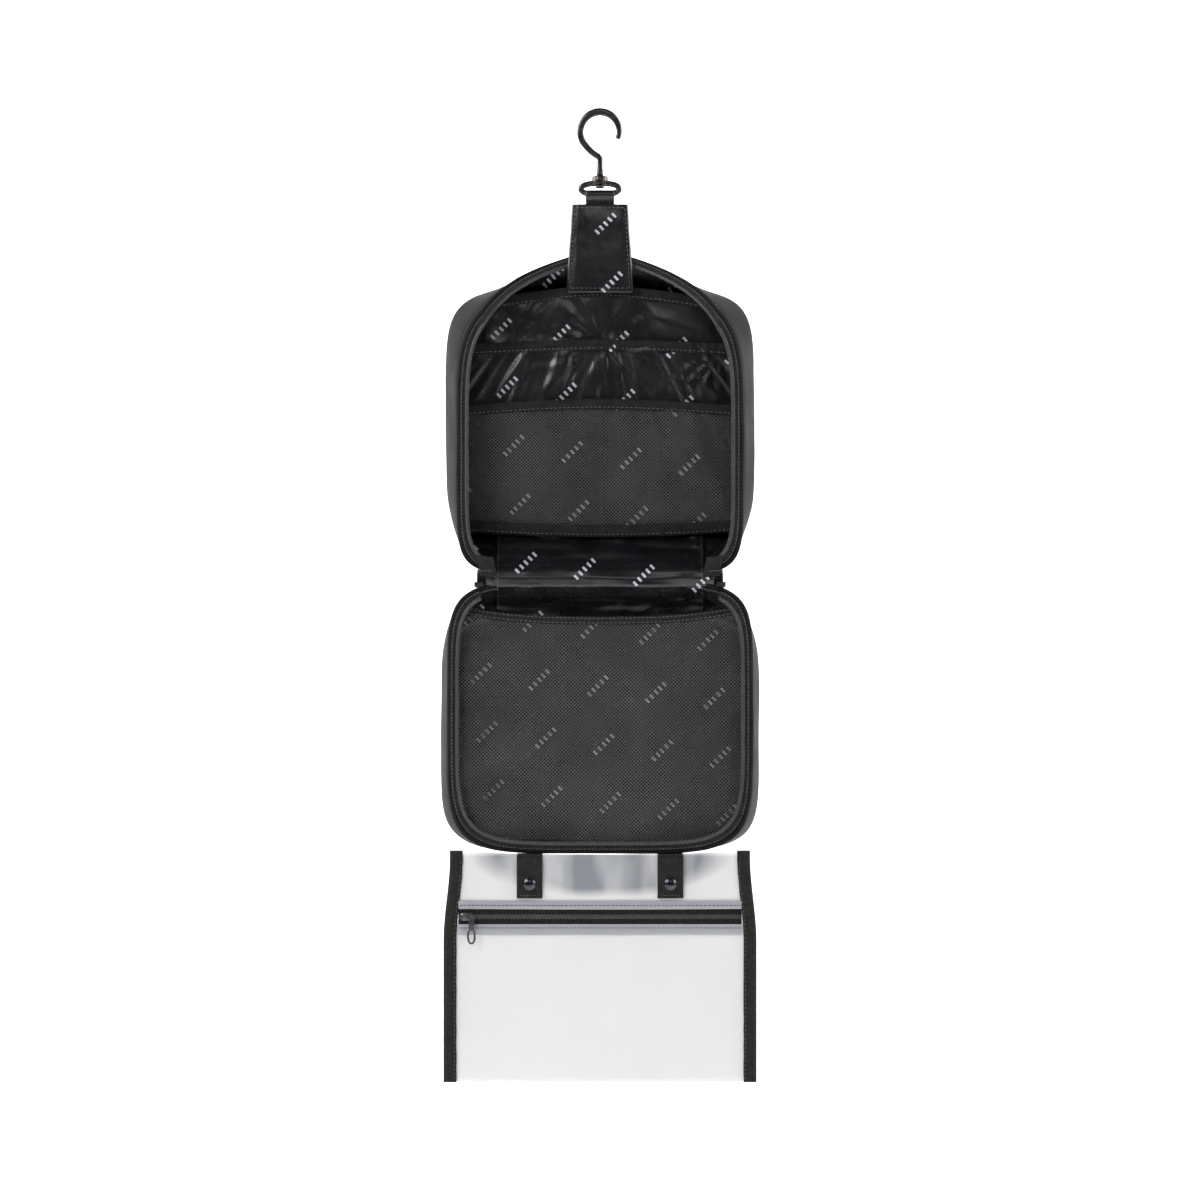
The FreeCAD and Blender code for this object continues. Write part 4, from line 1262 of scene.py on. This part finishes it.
def make_snap_straps():
    for side, word in ((-1, "left"), (1, "right")):
        low, high = node_box("snap_strap_" + word)
        cx = side * SNAP_X
        grid = []
        for i in range(25):
            z = lerp(high.z + 0.5, low.z - 0.2, i / 24)
            y = (low.y + high.y) / 2 - 0.15
            grid.append([Vector((cx + 10.0 * (j / 8 - 1),
                                 y + 0.12 * ripple(j / 2, i / 2, side, 111),
                                 z + (0.15 * ripple(j, 0, side, 112) if i == 24 else 0)))
                         for j in range(17)])
        strap = thicken(grid_object("lip_strap_" + word, grid), 1.2)
        finish_piece(strap, WEBBING, "lip_straps", "webbing", "snap_strap_" + word)
        hem = [Vector((cx + 8.2 * (k / 10 - 1), low.y - 0.3, low.z + 2.0)) for k in range(21)]
        stitches("lip_strap_stitches_" + word, hem, (1.8, 0.9, 0.5, 0.4),
                 BLACK_THREAD, "lip_straps", "webbing")
    grid_points = []
    for side in (-1, 1):
        line = [(-30.6, -568.0), (-30.4, -566.6), (-29.2, -565.7), (-26, -565.3), (-18, -565.5),
                (-10, -565.6)]
        rows = [[Vector((side * SNAP_X + 10.0 * (j / 8 - 1), y, z)) for j in range(17)]
                for y, z in line]
        grid_points.append(([p for r in rows for p in r], grid_faces(len(rows), 17)))
    roots = thicken(join_meshes("lip_strap_roots", grid_points), 1.1)
    finish_piece(roots, WEBBING, "lower_tray", "webbing", "strap_roots")


def make_snaps():
    """Domed press-stud caps with a rolled rim, and the studs behind them."""
    low, high = node_box("snap_caps")
    pieces = []
    for side in (-1, 1):
        profile = [(4.4, 0.0), (4.95, 0.15), (5.05, 0.6), (4.75, 1.0), (4.35, 0.95), (4.1, 1.3),
                   (3.5, 1.85), (2.6, 2.25), (1.5, 2.5), (0.5, 2.58)]
        points, faces = lathe(profile, 40)
        points = [Vector((side * SNAP_X + p.x, high.y - p.z, (low.z + high.z) / 2 + p.y))
                  for p in points]
        pieces.append((points, faces))
    caps = join_meshes("snap_domes", pieces)
    finish_piece(caps, SNAP_METAL, "lip_straps", "snap_metal", "snap_caps")
    refinish("snap_studs", SNAP_METAL)


def make_main_zip_pulls():
    for word in ("left", "right"):
        refinish("main_slider_" + word, PULL_METAL)
        refinish("main_pull_" + word, PULL_METAL)


make_fold_lining()
make_fold_sides()
make_spine()
make_end_tabs()
make_tab()
make_strap()
make_hook()
make_ring()
make_side_bindings()
make_pouch_sheet("pouch_back", "pouch_back_sheet", 1.6, 121)
make_pouch_sheet("pouch_front_upper", "pouch_front_top", 0.7, 123)
make_pouch_sheet("pouch_front", "pouch_front_sheet", 1.3, 125)
make_pouch_zip()
make_pouch_slider()
make_snap_straps()
make_snaps()
make_main_zip_pulls()


# ------------------------------------------------------------------ light, floor and camera

def area_light(name, place, aim, size, power, colour=(1, 1, 1)):
    light = bpy.data.lights.new(name, "AREA")
    light.shape = "RECTANGLE"
    light.size, light.size_y = size
    light.energy = power
    light.color = colour
    obj = bpy.data.objects.new(name, light)
    obj.location = place
    obj.rotation_euler = (Vector(aim) - Vector(place)).to_track_quat("-Z", "Y").to_euler()
    obj.visible_camera = False
    bpy.context.scene.collection.objects.link(obj)


def see_through(paper):
    """Leaves the studio paper open to a camera behind it."""
    clear = paper.nodes.new("ShaderNodeBsdfTransparent")
    side = paper.nodes.new("ShaderNodeNewGeometry")
    mix = paper.nodes.new("ShaderNodeMixShader")
    paper.links.new(side.outputs["Backfacing"], mix.inputs[0])
    paper.links.new(paper.bsdf.outputs[0], mix.inputs[1])
    paper.links.new(clear.outputs[0], mix.inputs[2])
    paper.links.new(mix.outputs[0], paper.nodes["Material Output"].inputs["Surface"])


def make_studio():
    centre = Vector((0, 0, -0.362))
    sweep = []
    for i in range(41):
        t = i / 40
        if t < 0.4:
            y, z = lerp(-2.6, 0.75, t / 0.4), -1.05
        elif t < 0.7:
            turn = math.pi / 2 * (t - 0.4) / 0.3
            y, z = 0.75 + 0.5 * math.sin(turn), -0.55 - 0.5 * math.cos(turn)
        else:
            y, z = 1.25, lerp(-0.55, 2.2, (t - 0.7) / 0.3)
        sweep.append([Vector((x, y, z)) / MM for x in (-3.5, 3.5)])
    backdrop = grid_object("studio_sweep", sweep)
    paper = Shader("studio_paper", (0.93, 0.93, 0.93), 0.8, Specular_IOR_Level=0.1)
    see_through(paper)
    backdrop.data.materials.append(paper.material)
    world = bpy.data.worlds.new("studio")
    world.use_nodes = True
    tree = world.node_tree
    tree.nodes["Background"].inputs["Color"].default_value = (1, 1, 1, 1)
    rays = tree.nodes.new("ShaderNodeLightPath")
    level = tree.nodes.new("ShaderNodeMapRange")
    level.inputs["To Min"].default_value = 0.14
    level.inputs["To Max"].default_value = 0.85
    tree.links.new(rays.outputs["Is Camera Ray"], level.inputs["Value"])
    tree.links.new(level.outputs["Result"], tree.nodes["Background"].inputs["Strength"])
    bpy.context.scene.world = world
    area_light("key", (-1.5, -1.5, 1.0), centre, (0.9, 1.4), 44)
    area_light("fill", (1.9, -1.3, 0.1), centre, (1.0, 1.8), 12)
    area_light("front", (0.2, -3.4, 1.2), centre, (1.2, 1.0), 9)
    area_light("backdrop_left", (-1.6, 0.1, 0.6), (-0.3, 1.25, -0.4), (0.8, 1.6), 62)
    area_light("backdrop_right", (1.6, 0.1, 0.6), (0.3, 1.25, -0.4), (0.8, 1.6), 62)


def make_camera():
    data = bpy.data.cameras.new("camera")
    data.sensor_width = 36
    data.lens = 36 * (4 - 0.022) / 0.936
    data.clip_end = 20
    camera = bpy.data.objects.new("camera", data)
    camera.location = (0, -4, -0.367)
    camera.rotation_euler = (math.pi / 2, 0, 0)
    bpy.context.scene.collection.objects.link(camera)
    scene = bpy.context.scene
    scene.camera = camera
    scene.render.resolution_x = scene.render.resolution_y = 1024
    scene.view_settings.view_transform = "Standard"


make_studio()
make_camera()
